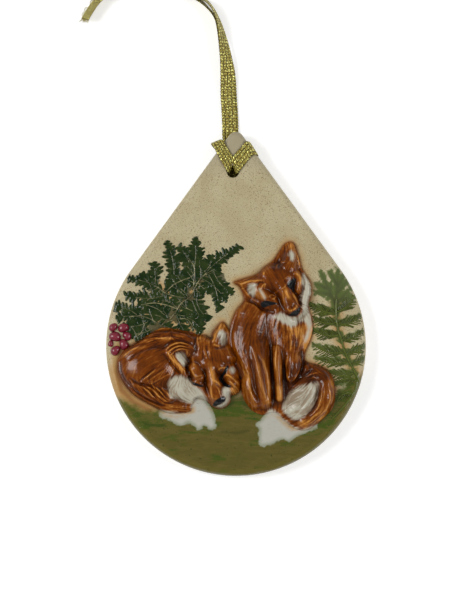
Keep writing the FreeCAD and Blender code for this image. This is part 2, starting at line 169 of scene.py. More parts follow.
# Ribbon routes, in metres: across from the middle line, past the tip, and above what they lie on.
STRAND_ROUTE = [
    (-0.0015, 0.0009, 0.00076), (-0.0016, 0.0053, 0.00052), (-0.0020, 0.0107, 0.00066),
    (-0.0021, 0.0163, 0.00160), (-0.0028, 0.0217, 0.00240), (-0.0037, 0.0270, 0.00230),
    (-0.0051, 0.0324, 0.00224), (-0.0086, 0.0371, 0.00222), (-0.0151, 0.0401, 0.00225),
    (-0.0224, 0.0411, 0.00230), (-0.0288, 0.0407, 0.00245),
]
KNOT_ENTRY = (-0.0278, 0.0408, 0.00240)
NEAR_TAIL_ROUTE = [
    (-0.0350, 0.0394, 0.00220), (-0.0375, 0.0380, 0.00200), (-0.0397, 0.0354, 0.00200),
    (-0.0417, 0.0318, 0.00200),
]
FAR_TAIL_ROUTE = [
    (-0.0352, 0.0418, 0.00150), (-0.0384, 0.0429, 0.00095), (-0.0417, 0.0433, 0.00055),
    (-0.0448, 0.0427, 0.00035),
]
# Shares of the strands' length between which they turn on edge, turn partly back, part, and
# narrow into the knot.
STRAND_TWIST_SHARES = (0.15, 0.60)
STRAND_RELAX_SHARES = (0.60, 0.76)
STRAND_OPEN_SHARES = (0.54, 0.72)
STRAND_GATHER_SHARES = (0.84, 0.97)
STRAND_TWIST = 1.3
STRAND_GATHER = 0.42
STRAND_RELAX = 0.45
NEAR_TAIL_TURN = math.radians(50)
# How far the strands start inside the hitch, part, lie off each other, and shift sideways.
STRAND_HIDDEN = 0.0004
STRAND_GAP = 0.00036
STRAND_SHIFT = 0.00025
LAYER_GAP = 0.0001
UNDER_GAP = 0.0002
# The knot's slant and radius, then its windings: start, turns, swell, span and tilt.
KNOT_LEAN = math.radians(153)
KNOT_AXIS = (math.cos(KNOT_LEAN), 0.35 * math.sin(KNOT_LEAN), 0.0)
KNOT_R = 0.00155
KNOT_ENDS = 0.78
KNOT_POINTS = 150
KNOT_BANDS = ((0.4, 2.4, 1.0, 0.0042, 0.0), (2.2, 0.8, 1.16, 0.0018, 0.0009))
# The winding band and the strands inside the knot: shares of the ribbon's width and thickness, and
# columns of stitches. Then the strands' turn and how far they run on past the knot.
KNOT_WRAP = (0.52, 2.2, 2)
KNOT_CORE = (0.7, 1.6, 3)
KNOT_CORE_TURN = 0.6
KNOT_CORE_PAST = 0.0006
# The knit's relief as shares of the thickness and of the width, and points across one column.
EDGE_THINNING = 0.8
WALE_BULGE = 0.16
SCALLOP = 0.035
WALE_POINTS = 6
# Frayed filaments at a cut, and loops pulled from a tail's edge at these shares of its length.
YARN_SIDES = 6
YARN_STEP = 0.00025
YARN_CLEARANCE = 0.0001
FRAY_COUNT = 13
FRAY_R = 0.00011
FRAY_BEND = 0.0006
FRAY_LENGTHS = (0.0006, 0.0019)
PULLED_SHARES = (0.25, 0.45, 0.65, 0.8)
PULLED_R = 0.0001
PULLED_LENGTHS = (0.0005, 0.0011)

# The hitch's bight: its lower and its upper edge from the hole round the left flank, behind the
# tip, round the right flank and back to the hole, as (pixel, pixel, millimetres up).
HITCH_LOWER_PX = [
    (229.6, 170.6, 0.9), (229.2, 170.8, 3.0), (228.2, 171.2, 5.2), (226.3, 169.2, 5.84),
    (219.6, 157.2, 5.84), (213.4, 145.4, 5.80), (211.4, 141.6, 5.0), (210.9, 141.0, 3.0),
    (212.2, 142.0, 1.0), (216.0, 144.5, 0.30), (226.0, 147.0, 0.22), (240.0, 148.0, 0.22),
    (251.0, 151.0, 0.34), (256.6, 152.6, 1.2), (258.6, 153.0, 3.0), (257.4, 152.9, 4.7),
    (252.2, 154.6, 5.78), (245.6, 162.4, 5.84), (239.4, 170.2, 5.84), (237.2, 172.0, 5.2),
    (236.0, 171.5, 3.0), (235.6, 171.2, 0.9),
]
HITCH_UPPER_PX = [
    (232.4, 164.4, 0.9), (232.4, 164.0, 3.0), (232.8, 161.0, 5.2), (232.7, 155.2, 5.84),
    (228.6, 148.0, 5.84), (223.6, 139.8, 5.84), (221.4, 137.4, 5.1), (220.6, 136.6, 3.0),
    (221.2, 136.2, 1.0), (222.6, 135.6, 0.30), (229.0, 134.4, 0.22), (240.0, 134.6, 0.22),
    (246.0, 137.0, 0.34), (248.8, 138.8, 1.2), (250.0, 139.2, 3.0), (249.2, 139.2, 4.7),
    (245.6, 140.2, 5.80), (239.8, 147.2, 5.84), (233.2, 155.0, 5.84), (232.8, 161.0, 5.2),
    (233.0, 164.0, 3.0), (233.0, 164.4, 0.9),
]
# The two strands behind the tip, from the hole to where the free loop starts.
UNDER_TIP_PX = [
    (233.4, 177.5, 0.44), (233.2, 172.0, 0.5), (233.0, 166.0, 0.58), (232.6, 158.0, 0.66),
    (231.4, 146.0, 0.72), (230.4, 127.8, 0.76),
]

# Foxes: outlines, then soft round limbs as rows of (x, y, radius) in pixels and height in
# millimetres, then creases with a half width in pixels and a height, down being negative.
SITTING_OUTLINE_PX = [
    (292.8, 241.5), (296.5, 249), (299.6, 259), (302, 268), (306, 275), (310.6, 283), (311.4, 293),
    (309, 303), (308.8, 310), (311.6, 317), (312.6, 330), (309.5, 342), (305.5, 351), (304.5, 359),
    (309, 362.5), (317.6, 364.5), (327.6, 370), (333, 379), (335.2, 394), (332.6, 407), (325, 416.5),
    (315, 425), (304, 430.5), (294, 428), (285, 421), (277, 413.5), (270.5, 412.5), (261.8, 415),
    (252, 410.5), (245, 402), (241.5, 393), (240.4, 382), (242.2, 373.5), (239, 365.5), (231, 354),
    (228.6, 341), (230.5, 325), (236, 311), (244, 300.5), (242, 291.5), (238.5, 286), (233.8, 282),
    (244, 278.2), (257, 273.8), (263.5, 267.5), (272.5, 260.8), (278.5, 252.5), (285, 243.5),
]
SITTING_LIMBS_PX = {
    "neck": [(268, 302, 17, 1.8), (285, 312, 17, 1.8)],
    "body": [(252, 316, 18, 2.2), (249, 338, 20, 2.7), (255, 362, 20, 2.9), (261, 386, 17, 2.9)],
    "chest": [(282, 320, 19, 2.3), (287, 342, 18, 2.6), (289, 358, 14, 2.6)],
    "hind_leg": [(256, 348, 12, 3.1), (259.6, 368, 13, 3.5), (262.6, 388, 12.5, 3.5),
                 (264, 401, 10, 3.1)],
    "haunch": [(246, 374, 9, 2.9), (248, 389, 10, 3.0), (254, 402, 9, 2.7)],
    "near_leg": [(277, 350, 7, 2.9), (277, 366, 6.4, 3.2), (278, 380, 5.6, 2.9), (279.4, 398, 5.4, 2.3)],
    "far_leg": [(292, 352, 9, 2.6), (293.4, 366, 9.5, 3.1), (291.6, 377, 8, 2.7)],
    "lap": [(296, 382, 12, 1.7), (307, 372, 13, 1.9)],
    "tail_root": [(307, 370, 10, 2.2), (318, 374, 11, 2.6), (325, 384, 11, 3.0)],
    "tail_side": [(325, 384, 11, 3.0), (324, 398, 11, 3.2), (317, 410, 10.5, 2.8), (304, 421, 9, 1.9)],
    "tail_fur": [(309, 391, 13, 2.5), (303, 402, 15, 2.6), (297, 411, 14, 2.0)],
    "skull": [(271, 279, 17, 3.0), (283, 280, 17.5, 3.3)],
    "upper_ear": [(288, 268, 12, 2.8), (290.5, 257, 8.5, 2.2), (292, 246, 4.4, 1.3)],
    "lower_ear": [(262, 285, 12, 2.7), (250, 284, 8.4, 2.0), (239, 283, 4.4, 1.2)],
    "left_cheek": [(258, 290, 9.5, 2.9), (266, 298, 10, 3.0), (274, 304, 8, 2.6)],
    "right_brow": [(295, 275, 7, 2.7), (299, 282, 6.4, 2.6), (298, 291, 6, 2.4)],
    "right_cheek": [(305.5, 280, 8, 1.9), (306, 292, 8, 2.0), (303, 306, 8, 2.0)],
    "bridge": [(280, 284, 12, 3.3), (284, 291, 12, 3.5)],
    "muzzle": [(284, 292, 10, 3.4), (288, 300, 12, 3.55), (291, 308, 11.5, 3.6)],
    "jaw": [(278, 311, 9, 2.2), (290, 315, 10, 2.4), (300, 311, 8, 2.4)],
}
# Ridges and creases: the line, its half width, its height (down being negative), and how much
# paler (or darker) the glaze breaks there.
SITTING_LINES_PX = [
    # On these thigh and haunch ridges the paler glaze is partly a painted highlight.
    ([(252, 348), (255.6, 362), (260, 381), (266, 403)], 2.2, 0.4, 0.2),
    ([(259.6, 354), (265, 368), (268.4, 384), (268.8, 402)], 1.6, 0.4, 0.26),
    ([(256.4, 355), (261.6, 368), (264.8, 384), (267, 399)], 1.2, -0.2, -0.05),
    ([(244, 372), (248.6, 379), (249.8, 390), (253.4, 401)], 1.6, 0.3, 0.2),
    ([(250, 362), (253.6, 376), (256, 390), (261, 406)], 1.8, -0.3, -0.05),
    ([(271.4, 349), (271.2, 365), (271.6, 385), (272.6, 405)], 1.7, -0.7, -0.1),
    ([(284, 353), (283.8, 366), (284.2, 380), (285.6, 391)], 1.9, -0.7, -0.1),
    ([(302.8, 352), (303.4, 363), (299.5, 375), (293, 384)], 1.8, -0.6, -0.12),
    ([(287.4, 357), (285.8, 366), (286.4, 376), (290, 383)], 0.9, 0.3, 0.4),
    ([(299.4, 357), (300.8, 364), (297.6, 374), (292, 382)], 1.0, 0.3, 0.3),
    ([(291.6, 362), (290.6, 370), (291, 378)], 1.0, -0.2, -0.06),
    ([(275, 352), (274.4, 360), (275.6, 370)], 1.1, 0.2, 0.2),
    ([(280, 354), (281, 364), (281, 376)], 1.0, 0.2, 0.1),
    ([(277.6, 387), (279, 394), (278.6, 402)], 2.0, 0.1, 0.3),
    ([(284.6, 386), (283.4, 396), (283, 407)], 1.3, -0.3, -0.2),
    ([(294.4, 274), (299.4, 277), (300, 284), (297.8, 290)], 1.3, 0.15, 0.34),
    ([(285.2, 290), (286.6, 296), (288.6, 301)], 1.9, 0.1, 0.34),
    ([(292.6, 293.7), (295.6, 300), (298.6, 307)], 1.2, 0.25, 0.36),
    ([(286.2, 309), (289.6, 312), (295, 309.4), (296.8, 305.6)], 0.8, 0.25, 0.34),
    ([(290, 309), (292.4, 307.6), (293.6, 305)], 1.0, -0.2, -0.08),
    ([(282.4, 293), (283, 300), (284.8, 306)], 0.8, 0.15, 0.2),
    ([(278, 290), (278.4, 297), (280.6, 305), (285, 312.6)], 2.2, -0.12, -0.08),
    ([(293.4, 286), (295.4, 293), (299, 300), (301, 307)], 1.3, -0.24, -0.1),
    ([(279.6, 291.2), (284, 288), (287, 283.6)], 0.8, 0.15, 0.22),
    ([(273.6, 294.6), (278.6, 291)], 0.7, 0.1, 0.28),
    ([(283, 281), (288, 277.6), (292.6, 278)], 0.8, 0.15, 0.2),
    ([(260, 290.4), (263, 286), (265, 285), (264, 289.4)], 0.8, 0.2, 0.4),
    ([(268.6, 297.6), (272, 295.4), (275.8, 297.6), (271, 300.8)], 0.7, 0.25, 0.34),
    ([(262, 301.6), (268, 300), (275, 302.4)], 1.0, -0.2, -0.05),
    ([(303, 274), (304.4, 283), (302.6, 292), (300.8, 300), (300.6, 307)], 1.1, -0.4, -0.2),
    ([(284, 313.4), (289, 316), (295, 316.5), (300, 312)], 1.0, -0.4, -0.1),
    ([(281, 263), (284, 254), (289.5, 245)], 1.3, 0.3, 0.1),
    ([(296.4, 253), (298.6, 261), (299.6, 269)], 1.0, 0.3, 0.35),
    ([(290.5, 250), (291.5, 256), (290.5, 263)], 3.0, -0.5, 0.0),
    ([(279.4, 257), (281, 262.4), (285, 262)], 0.9, 0.2, 0.32),
    ([(276, 270), (276.4, 266), (279.6, 263.4)], 0.8, 0.15, 0.3),
    ([(263, 276.4), (264, 272.6)], 0.9, 0.2, 0.4),
    ([(234.6, 282.6), (240, 284.4), (244, 290), (251, 298), (259, 303.6)], 1.0, 0.3, 0.3),
    ([(241, 284.6), (251, 281.6), (263.6, 281)], 1.0, 0.25, 0.26),
    ([(245, 287), (250, 289), (255, 290)], 3.0, -0.5, 0.0),
    ([(256, 286), (260, 283), (264, 284)], 0.8, -0.2, -0.2),
    ([(246, 300), (255, 304.5), (263, 310), (273, 312.6)], 1.6, -0.5, -0.16),
    ([(246, 303), (254, 305.6), (259, 311)], 1.0, 0.1, 0.22),
    ([(305.6, 361.5), (310, 370), (302, 377), (291, 385)], 1.6, -0.4, -0.14),
    ([(306.5, 377), (312, 374.2), (318, 373)], 0.8, 0.25, 0.34),
    ([(308, 379.6), (313, 378), (319, 380)], 0.8, 0.2, 0.3),
    ([(318.6, 385), (316.4, 396), (313.6, 407), (308, 416)], 1.8, -0.35, -0.08),
    ([(321, 388), (320, 399), (315.6, 410)], 0.9, 0.25, 0.26),
    ([(327.4, 388), (329.4, 398), (325, 411)], 0.9, 0.25, 0.3),
    ([(330.6, 381), (332.6, 392), (330.6, 404)], 0.8, 0.2, 0.2),
    ([(288, 396), (295, 391.5), (304, 388)], 1.2, 0.3, 0.0),
    ([(286, 407), (293, 402), (303, 399)], 1.1, 0.3, 0.0),
    ([(312, 388), (307, 398), (301, 407), (295, 413)], 1.6, -0.3, -0.1),
    ([(306, 322), (309.4, 331), (307, 341), (303.6, 350)], 2.4, 0.2, 0.5),
    ([(300, 328), (303, 337), (300.6, 346)], 1.5, 0.1, 0.2),
    ([(262, 318), (258, 330), (255, 342)], 1.4, 0.0, 0.12),
    ([(272, 320), (269, 334), (265, 346)], 0.9, 0.0, 0.16),
    ([(250, 312), (243, 322), (239, 336)], 0.9, 0.0, 0.12),
    ([(233, 332), (234.6, 345), (240, 357), (246, 368)], 1.6, 0.2, 0.14),
]
# The lie of the fur: (x, y) in pixels, its direction in degrees from right to down, its depth.
SITTING_FUR_PX = [
    (292, 250, 80, 0.10), (284, 262, 130, 0.10), (270, 272, 60, 0.03), (280, 282, 60, 0.03),
    (250, 284, 160, 0.12), (262, 294, 60, 0.03), (288, 298, 65, 0.03), (300, 284, 95, 0.06),
    (307, 285, 20, 0.11), (306, 300, 15, 0.11), (290, 318, 70, 0.09), (270, 314, 110, 0.10),
    (255, 314, 125, 0.09), (240, 322, 105, 0.07), (234, 340, 85, 0.06), (246, 338, 110, 0.09),
    (262, 330, 115, 0.10), (275, 330, 100, 0.14), (290, 332, 80, 0.17), (304, 330, 95, 0.10),
    (306, 345, 110, 0.10), (286, 346, 90, 0.14), (270, 344, 95, 0.11), (256, 350, 80, 0.06),
    (244, 362, 70, 0.12), (248, 388, 80, 0.06), (262, 385, 80, 0.03), (263, 402, 75, 0.04),
    (277, 366, 90, 0.06), (293, 368, 95, 0.08), (279, 396, 88, 0.06), (305, 372, 160, 0.08),
    (320, 372, 30, 0.08), (330, 382, 75, 0.08), (326, 400, 100, 0.08), (316, 416, 140, 0.14),
    (300, 426, 165, 0.12), (295, 396, 155, 0.14), (308, 400, 120, 0.15), (292, 414, 150, 0.13),
]
# White slip and black underglaze, then washes with how much they darken and their softness.
SITTING_WHITE_PX = [
    [(291, 250.5), (294.6, 254), (294.4, 258.5), (292.4, 262), (289.6, 258.6), (288, 254.5)],
    # On the left cheek this white slip is partly pale glaze and partly a painted highlight.
    [(258.3, 290.6), (260.5, 290), (265.6, 298.4), (263.8, 299.6)],
    [(248.6, 285), (253, 284.3), (257.4, 285.2), (255.5, 288), (256, 292), (253, 297), (249, 294),
     (247.6, 290)],
    [(303.4, 273.5), (308, 279), (311.4, 286), (311, 295), (308, 303), (309.4, 312), (311.6, 322),
     (310, 333), (305, 343), (303.6, 339), (306.5, 330), (305.5, 324), (300, 321), (294, 328), (286, 326),
     (279, 322), (272, 317.5), (276.5, 315), (281, 312.8), (287, 316.4), (297, 317), (301.4, 312),
     (300.8, 304), (300.6, 296), (302.8, 290), (301, 284)],
    [(289, 393), (296, 388), (304, 384.5), (314, 382.5), (317.8, 384), (316.6, 396), (312.4, 407),
     (305, 415), (297, 420), (288, 417), (282, 409), (284, 401)],
    [(269.6, 409), (276, 411.6), (284, 419), (294, 426.5), (304, 429), (314, 425), (322, 423), (310, 431),
     (300, 436), (286, 445), (272, 446), (257, 440), (258, 431), (254.5, 425.5), (262, 418)],
]
SITTING_BLACK_PX = [
    [(260.6, 303.6), (264.6, 301.4), (269.4, 302), (274.4, 303.2), (277.8, 304.4), (273.4, 305.8),
     (268.4, 306.6), (264, 308.4), (261.2, 307.2)],
    [(292.6, 279.2), (296, 279.8), (294.6, 286), (293.2, 293.6), (291.4, 291), (287.4, 288),
     (287, 284.6)],
    [(288.2, 316), (292.4, 312.4), (296, 310.6), (299.6, 307.6), (299.9, 311.6), (296.8, 316),
     (292, 316.6)],
]
SITTING_WASHES_PX = [
    ([(231, 326), (246, 322), (262, 326), (270, 338), (268, 356), (258, 362), (244, 358),
      (232, 350)], 0.10, 6),
    ([(288, 366), (302, 362), (318, 366), (330, 376), (322, 382), (306, 380), (294, 388), (286, 396),
      (284, 380)], 0.32, 4),
    ([(278, 258), (284, 250), (289, 245), (287, 258), (284, 266), (278, 270), (270, 270)], 0.2, 3),
    ([(276, 388), (282, 388), (281, 400), (277, 400)], -0.2, 3),
    ([(283, 322), (300, 325), (310, 323), (310, 336), (304, 349), (296, 339), (287, 331)], -0.4, 4),
    ([(258, 316), (270, 318), (284, 326), (276, 332), (262, 322)], -0.1, 5),
    ([(300, 416), (316, 410), (326, 412), (314, 426), (300, 430)], -0.14, 4),
    ([(286, 301), (292, 300), (297, 306), (292, 311), (287, 308)], 0.12, 3),
    ([(258, 270), (276, 262), (292, 268), (290, 282), (278, 294), (270, 288)], 0.08, 6),
    ([(236, 280), (258, 276), (262, 280), (246, 283)], -0.05, 3),
    ([(287, 246), (293, 244), (300, 262), (297, 268), (294, 256)], -0.12, 3),
    # This wash lightens the left cheek to peach: partly pale glaze, partly a painted highlight.
    ([(254, 291), (260, 290), (266, 295), (264, 300), (258, 299)], -0.28, 3),
    ([(288, 399), (300, 391), (310, 390), (306, 399), (294, 406)], 0.34, 4),
    ([(300, 414), (312, 402), (316, 404), (308, 418)], 0.28, 3),
]

SLEEPING_OUTLINE_PX = [
    (123.2, 351.5), (129, 346.5), (136, 342), (145, 336.5), (152, 332), (163, 327.5), (176, 329),
    (190, 331.5), (198, 334.6), (205, 334.8), (210.6, 337.6), (212.4, 332.5), (217, 326.6),
    (222.6, 321.6),
    (226.6, 325.6), (229, 331), (229.8, 341), (232.6, 351), (237.5, 358.6), (243, 366), (244.4, 373),
    (242, 381), (240.6, 389.6), (236.6, 394), (231.6, 396.4), (230.6, 402), (226, 407), (219, 409.2),
    (212.6, 407), (208, 402.6), (203, 399.6), (196, 399), (192, 405), (190.5, 411.6), (178, 413.6),
    (166, 412.6), (156, 407.8), (146, 402.5), (137, 397.2), (129, 390), (122, 380), (118.2, 370),
    (118.4, 360),
]
SLEEPING_LIMBS_PX = {
    "back": [(128, 354, 9, 1.9), (142, 345, 11, 2.3), (158, 340, 12, 2.5), (176, 341, 13, 2.6),
             (192, 345, 12, 2.5)],
    "rump": [(149, 367, 33, 3.7), (152, 368, 31, 3.7)],
    "side": [(158, 371, 16, 2.6), (168, 376, 12, 2.3)],
    "thigh": [(138, 385, 12, 2.4), (150, 392, 13, 2.5), (166, 398, 12, 2.1)],
    "tail": [(138, 396, 8, 1.2), (154, 403, 9, 1.7), (168, 406, 9, 1.8), (180, 406, 8, 1.4)],
    "chest": [(174, 378, 14, 2.2), (184, 388, 14, 2.1), (195, 395, 11, 1.7)],
    "ear_fold": [(167, 353, 9, 2.6), (173, 348, 9, 2.75), (181, 347, 9, 2.8), (190, 350.6, 8, 2.8)],
    "ear_flap": [(168, 355, 7, 2.6), (174, 362, 7, 2.65), (181, 369, 7, 2.6), (186, 375, 6, 2.4)],
    "ear_inside": [(177, 357, 8, 2.5), (183, 364, 7, 2.5)],
    "neck": [(197, 346, 12, 2.8), (206, 344, 12, 2.9)],
    "skull": [(203, 355, 17, 3.3), (213, 355, 18, 3.5), (223, 357, 15, 3.2)],
    "brow": [(207, 364, 13, 3.5), (218, 366, 12, 3.4)],
    "left_eye": [(196, 369, 10, 3.2), (200, 377, 10, 3.2)],
    "left_cheek": [(197, 384, 9.5, 2.7), (203, 391, 9.5, 2.7), (208, 398, 8, 2.5)],
    "right_eye": [(227, 369, 10, 3.1), (231, 377, 9.5, 3.0)],
    "right_cheek": [(233, 384, 9, 2.7), (229, 391, 9, 2.7)],
    "bridge": [(210, 366, 11, 3.6), (212, 375, 10.5, 3.7), (214, 383, 10.5, 3.8)],
    "muzzle": [(214, 386, 11, 3.8), (216.5, 394, 11.5, 3.8), (219, 399, 10, 3.5)],
    "muzzle_side": [(225, 392, 8, 3.2), (224, 401, 7, 2.9)],
    "lip": [(210, 398, 6.4, 2.6), (216, 404, 6.4, 2.6)],
    "right_ear": [(216, 341, 9, 2.8), (221, 332, 6.8, 2.3), (222.6, 325, 3.6, 1.4)],
}
SLEEPING_LINES_PX = [
    ([(123.6, 356), (133.6, 348), (146.5, 342.4), (159.3, 338), (172, 337), (186, 339)], 1.5, -0.3, -0.1),
    ([(126, 352), (140, 342), (152, 336.6), (165, 332.6), (182, 334)], 2.0, 0.1, -0.14),
    ([(140, 346.6), (152.4, 340.6), (163.5, 338.6), (178, 339)], 1.6, 0.2, 0.3),
    ([(124, 356.6), (131, 351), (140, 347.4)], 1.0, 0.2, 0.3),
    ([(130, 360), (141, 352.6), (154, 348), (164, 348.6)], 1.4, -0.25, -0.08),
    ([(140.5, 381.5), (149, 374.6), (157, 368.4)], 1.2, -0.4, -0.14),
    ([(141.6, 385.2), (153.5, 378.4), (163.5, 370.4)], 1.2, -0.4, -0.14),
    ([(149, 386.8), (160, 380.2), (168, 374.2)], 1.1, -0.35, -0.12),
    ([(143.9, 380), (150, 375.6), (156.5, 370)], 0.8, 0.3, 0.4),
    ([(144.8, 383.5), (154, 378.2), (163.7, 371)], 0.8, 0.3, 0.4),
    ([(150, 385.6), (160.6, 379.6), (169, 374.6)], 0.8, 0.3, 0.34),
    ([(130.6, 378), (137, 383), (146, 385.4), (156, 386.4)], 1.4, -0.4, -0.16),
    ([(121, 362), (122, 372), (127, 381.6), (135, 389.6)], 1.3, -0.25, -0.08),
    ([(134, 389.8), (146.5, 398.6), (159.3, 404.6), (168, 406)], 1.2, -0.4, -0.14),
    ([(134, 392), (146.5, 400.6), (160, 406.8)], 0.8, 0.2, 0.22),
    ([(166, 403.4), (176, 402), (188, 402.6)], 1.3, -0.3, -0.1),
    ([(145, 387), (151, 391), (157, 398)], 0.8, -0.3, -0.12),
    ([(152, 387), (157.6, 391), (163, 398)], 0.8, -0.3, -0.12),
    ([(158.6, 387.6), (163, 392), (168, 398)], 0.8, -0.3, -0.12),
    ([(142, 387), (148.4, 391), (154.4, 398)], 0.8, 0.25, 0.36),
    ([(148.6, 387), (154.4, 391), (160.4, 398)], 0.8, 0.25, 0.36),
    ([(155.4, 387.4), (160.4, 391.4), (165.8, 398)], 0.8, 0.25, 0.36),
    ([(162, 388), (166, 392), (171, 397)], 0.8, 0.2, 0.3),
    ([(166.8, 350.4), (171.4, 346), (180.4, 343.4), (189, 345.6), (194, 349.6)], 0.8, 0.3, 0.42),
    ([(168.6, 353.4), (173, 349.4), (180.4, 346.8), (190, 348.6)], 0.7, 0.3, 0.4),
    ([(171.4, 355.4), (176, 351.6), (182, 349.6), (189, 351)], 0.7, 0.25, 0.36),
    ([(167.8, 351.8), (172, 347.8), (180, 345.2), (189, 347)], 0.6, -0.25, -0.12),
    ([(170, 354.6), (174.6, 350.6), (181, 348.2), (189, 349.8)], 0.6, -0.25, -0.12),
    ([(165, 346.4), (171, 342.6), (181, 341), (192, 344.6)], 1.4, -0.35, -0.18),
    ([(167.4, 352), (172, 359), (179, 366), (186, 372.4)], 0.9, 0.25, 0.42),
    ([(171.4, 354), (176, 360.4), (182, 367), (186, 369)], 0.8, 0.15, 0.26),
    ([(164.6, 355), (169.6, 361.4), (176, 369), (183, 376)], 1.3, -0.35, -0.12),
    ([(187.4, 351.6), (187.6, 357), (190.6, 355)], 1.0, 0.3, 0.5),
    ([(186.4, 360), (186.6, 368), (188.4, 376), (193, 384)], 1.2, -0.45, -0.26),
    ([(192.8, 356), (193.4, 362), (194.4, 366)], 1.2, 0.15, 0.32),
    ([(198.4, 336.8), (197.8, 342), (199.6, 350)], 1.0, 0.25, 0.34),
    ([(196, 353), (195.4, 346), (196, 338)], 1.2, -0.3, -0.14),
    ([(203.4, 344), (205, 352), (208, 360)], 1.3, 0.1, 0.18),
    ([(209, 348), (209.6, 354), (211.4, 360)], 1.0, 0.1, 0.14),
    ([(206, 346), (207, 353), (209.6, 360)], 1.1, -0.15, -0.1),
    ([(190.6, 367), (193, 373), (196, 377), (203.4, 375.8), (203.2, 378.8),
      (198, 379.8)], 0.9, 0.15, 0.22),
    ([(193.6, 383.4), (198, 385.2), (203.4, 386.6)], 1.1, -0.3, -0.1),
    ([(204.6, 368), (205, 376), (205.8, 384), (207, 392)], 2.0, -0.3, -0.16),
    ([(216.6, 368), (218, 375), (220, 380.6)], 1.8, -0.3, -0.14),
    ([(210, 366.4), (211.6, 374), (213.6, 382)], 2.7, 0.1, 0.36),
    ([(213.6, 380.6), (217.6, 383), (221.2, 386.8)], 1.0, 0.2, 0.36),
    ([(211, 386.6), (211.4, 393), (213.4, 398.6), (217, 399.4)], 1.1, 0.15, 0.3),
    ([(215.4, 386), (218.6, 389.6), (219.6, 395)], 0.9, 0.2, 0.26),
    ([(213.6, 390), (215, 394), (217.6, 395)], 1.4, -0.15, -0.1),
    ([(227.7, 367.3), (224, 373.6), (220.4, 379.4)], 1.2, -0.3, -0.1),
    ([(220.4, 379.6), (225, 384), (230.4, 387.4)], 1.2, -0.45, -0.12),
    ([(217.6, 371.6), (221, 368.8), (226, 368.4)], 0.9, 0.2, 0.36),
    ([(221.6, 378), (227, 375.6), (232, 378.4), (239, 385.4)], 0.9, 0.2, 0.3),
    ([(226, 381), (231, 383), (236.6, 388)], 0.8, 0.15, 0.25),
    ([(229, 386), (234, 388), (238.6, 392)], 0.9, -0.3, -0.1),
    ([(210.6, 400.6), (214.6, 404.6), (221, 405), (226.6, 401)], 0.9, -0.3, -0.1),
    ([(221.6, 323.8), (216.6, 333), (212.8, 342.6)], 0.9, 0.3, 0.42),
    ([(223.4, 325), (226.8, 330), (227.6, 338)], 0.8, 0.25, 0.35),
    ([(216.6, 343), (219.6, 337), (222.6, 331)], 2.0, -0.4, 0.0),
    ([(213.4, 344.6), (217, 346), (220, 346.6)], 1.1, 0.15, 0.35),
    ([(213, 348), (219, 349), (226, 346)], 1.2, -0.3, -0.14),
    ([(146, 361), (154, 359), (160, 363)], 4.5, 0.0, 0.18),
    ([(128, 362), (134, 368), (136, 376)], 4.5, 0.0, 0.1),
    ([(170, 366), (172, 371), (170, 376)], 3.0, 0.0, 0.18),
]
SLEEPING_FUR_PX = [
    (128, 352, 150, 0.10), (142, 342, 160, 0.14), (160, 336, 175, 0.18), (180, 338, 10, 0.16),
    (136, 358, 130, 0.03), (134, 370, 110, 0.01), (146, 362, 150, 0.03), (160, 358, 160, 0.06),
    (156, 370, 140, 0.08), (168, 366, 120, 0.08), (140, 388, 50, 0.12), (152, 392, 55, 0.16),
    (164, 394, 50, 0.14), (172, 386, 130, 0.12), (180, 380, 110, 0.13), (186, 388, 60, 0.13),
    (192, 394, 40, 0.12), (150, 402, 25, 0.06), (172, 406, 5, 0.12), (186, 406, 0, 0.12),
    (200, 340, 100, 0.16), (206, 350, 95, 0.10), (214, 356, 85, 0.08), (224, 352, 70, 0.08),
    (197, 366, 75, 0.03), (199, 378, 60, 0.03), (211, 374, 90, 0.02), (216, 390, 85, 0.02),
    (204, 392, 60, 0.08), (230, 372, 60, 0.05), (234, 386, 50, 0.12), (226, 398, 70, 0.03),
    (178, 360, 45, 0.14), (170, 348, 150, 0.03), (184, 346, 20, 0.03), (220, 334, 110, 0.12),
]
SLEEPING_WHITE_PX = [
    [(175.6, 355), (180, 352.8), (185.4, 354.4), (187, 359.4), (186, 366), (183, 366.6), (179, 361.6)],
    [(170.4, 378.4), (176, 376), (184, 376.4), (190, 379.6), (194, 386), (201, 389.6), (206, 397),
     (206, 402), (196, 400.6), (190, 403), (178, 399), (171, 398), (169, 391), (167.4, 385)],
    [(218.2, 334), (221.6, 331), (225.6, 333.6), (227.2, 340), (224.6, 345.6), (220.8, 345), (219, 341)],
    # Beside the right eye this white slip is partly pale fur and partly a painted highlight.
    [(229.4, 369.4), (231.8, 367.4), (234.2, 368.2), (234.8, 372), (232.6, 374.8), (230.6, 373)],
    [(222.8, 388), (227.6, 386.6), (230.4, 390.2), (230.2, 397), (227.6, 403.6), (221, 408),
     (213.4, 405.6),
     (217, 404.4), (222.6, 402), (225, 398.6), (222.6, 395.8), (222, 392)],
    [(160, 410), (168, 411.6), (190, 412.2), (192, 400), (206, 400), (204, 408), (190, 416), (164, 417)],
]
SLEEPING_BLACK_PX = [
    [(192.6, 382.6), (196, 383.4), (200, 385), (203.8, 386), (202.6, 387.4), (198, 386.6),
     (193.6, 385.2)],
    [(227, 366), (229, 367.6), (226.4, 373), (222.6, 378.4), (223.4, 381.4), (227.4, 384.4), (231, 386.6),
     (229.4, 388), (224.6, 386.2), (219.6, 381.2), (219.6, 377.6), (223.4, 372)],
    [(212.8, 405.6), (214.6, 401.6), (218.4, 398.8), (222.6, 396.6), (225.6, 398), (224.8, 401.6),
     (220, 404.4), (215.6, 406.6)],
]
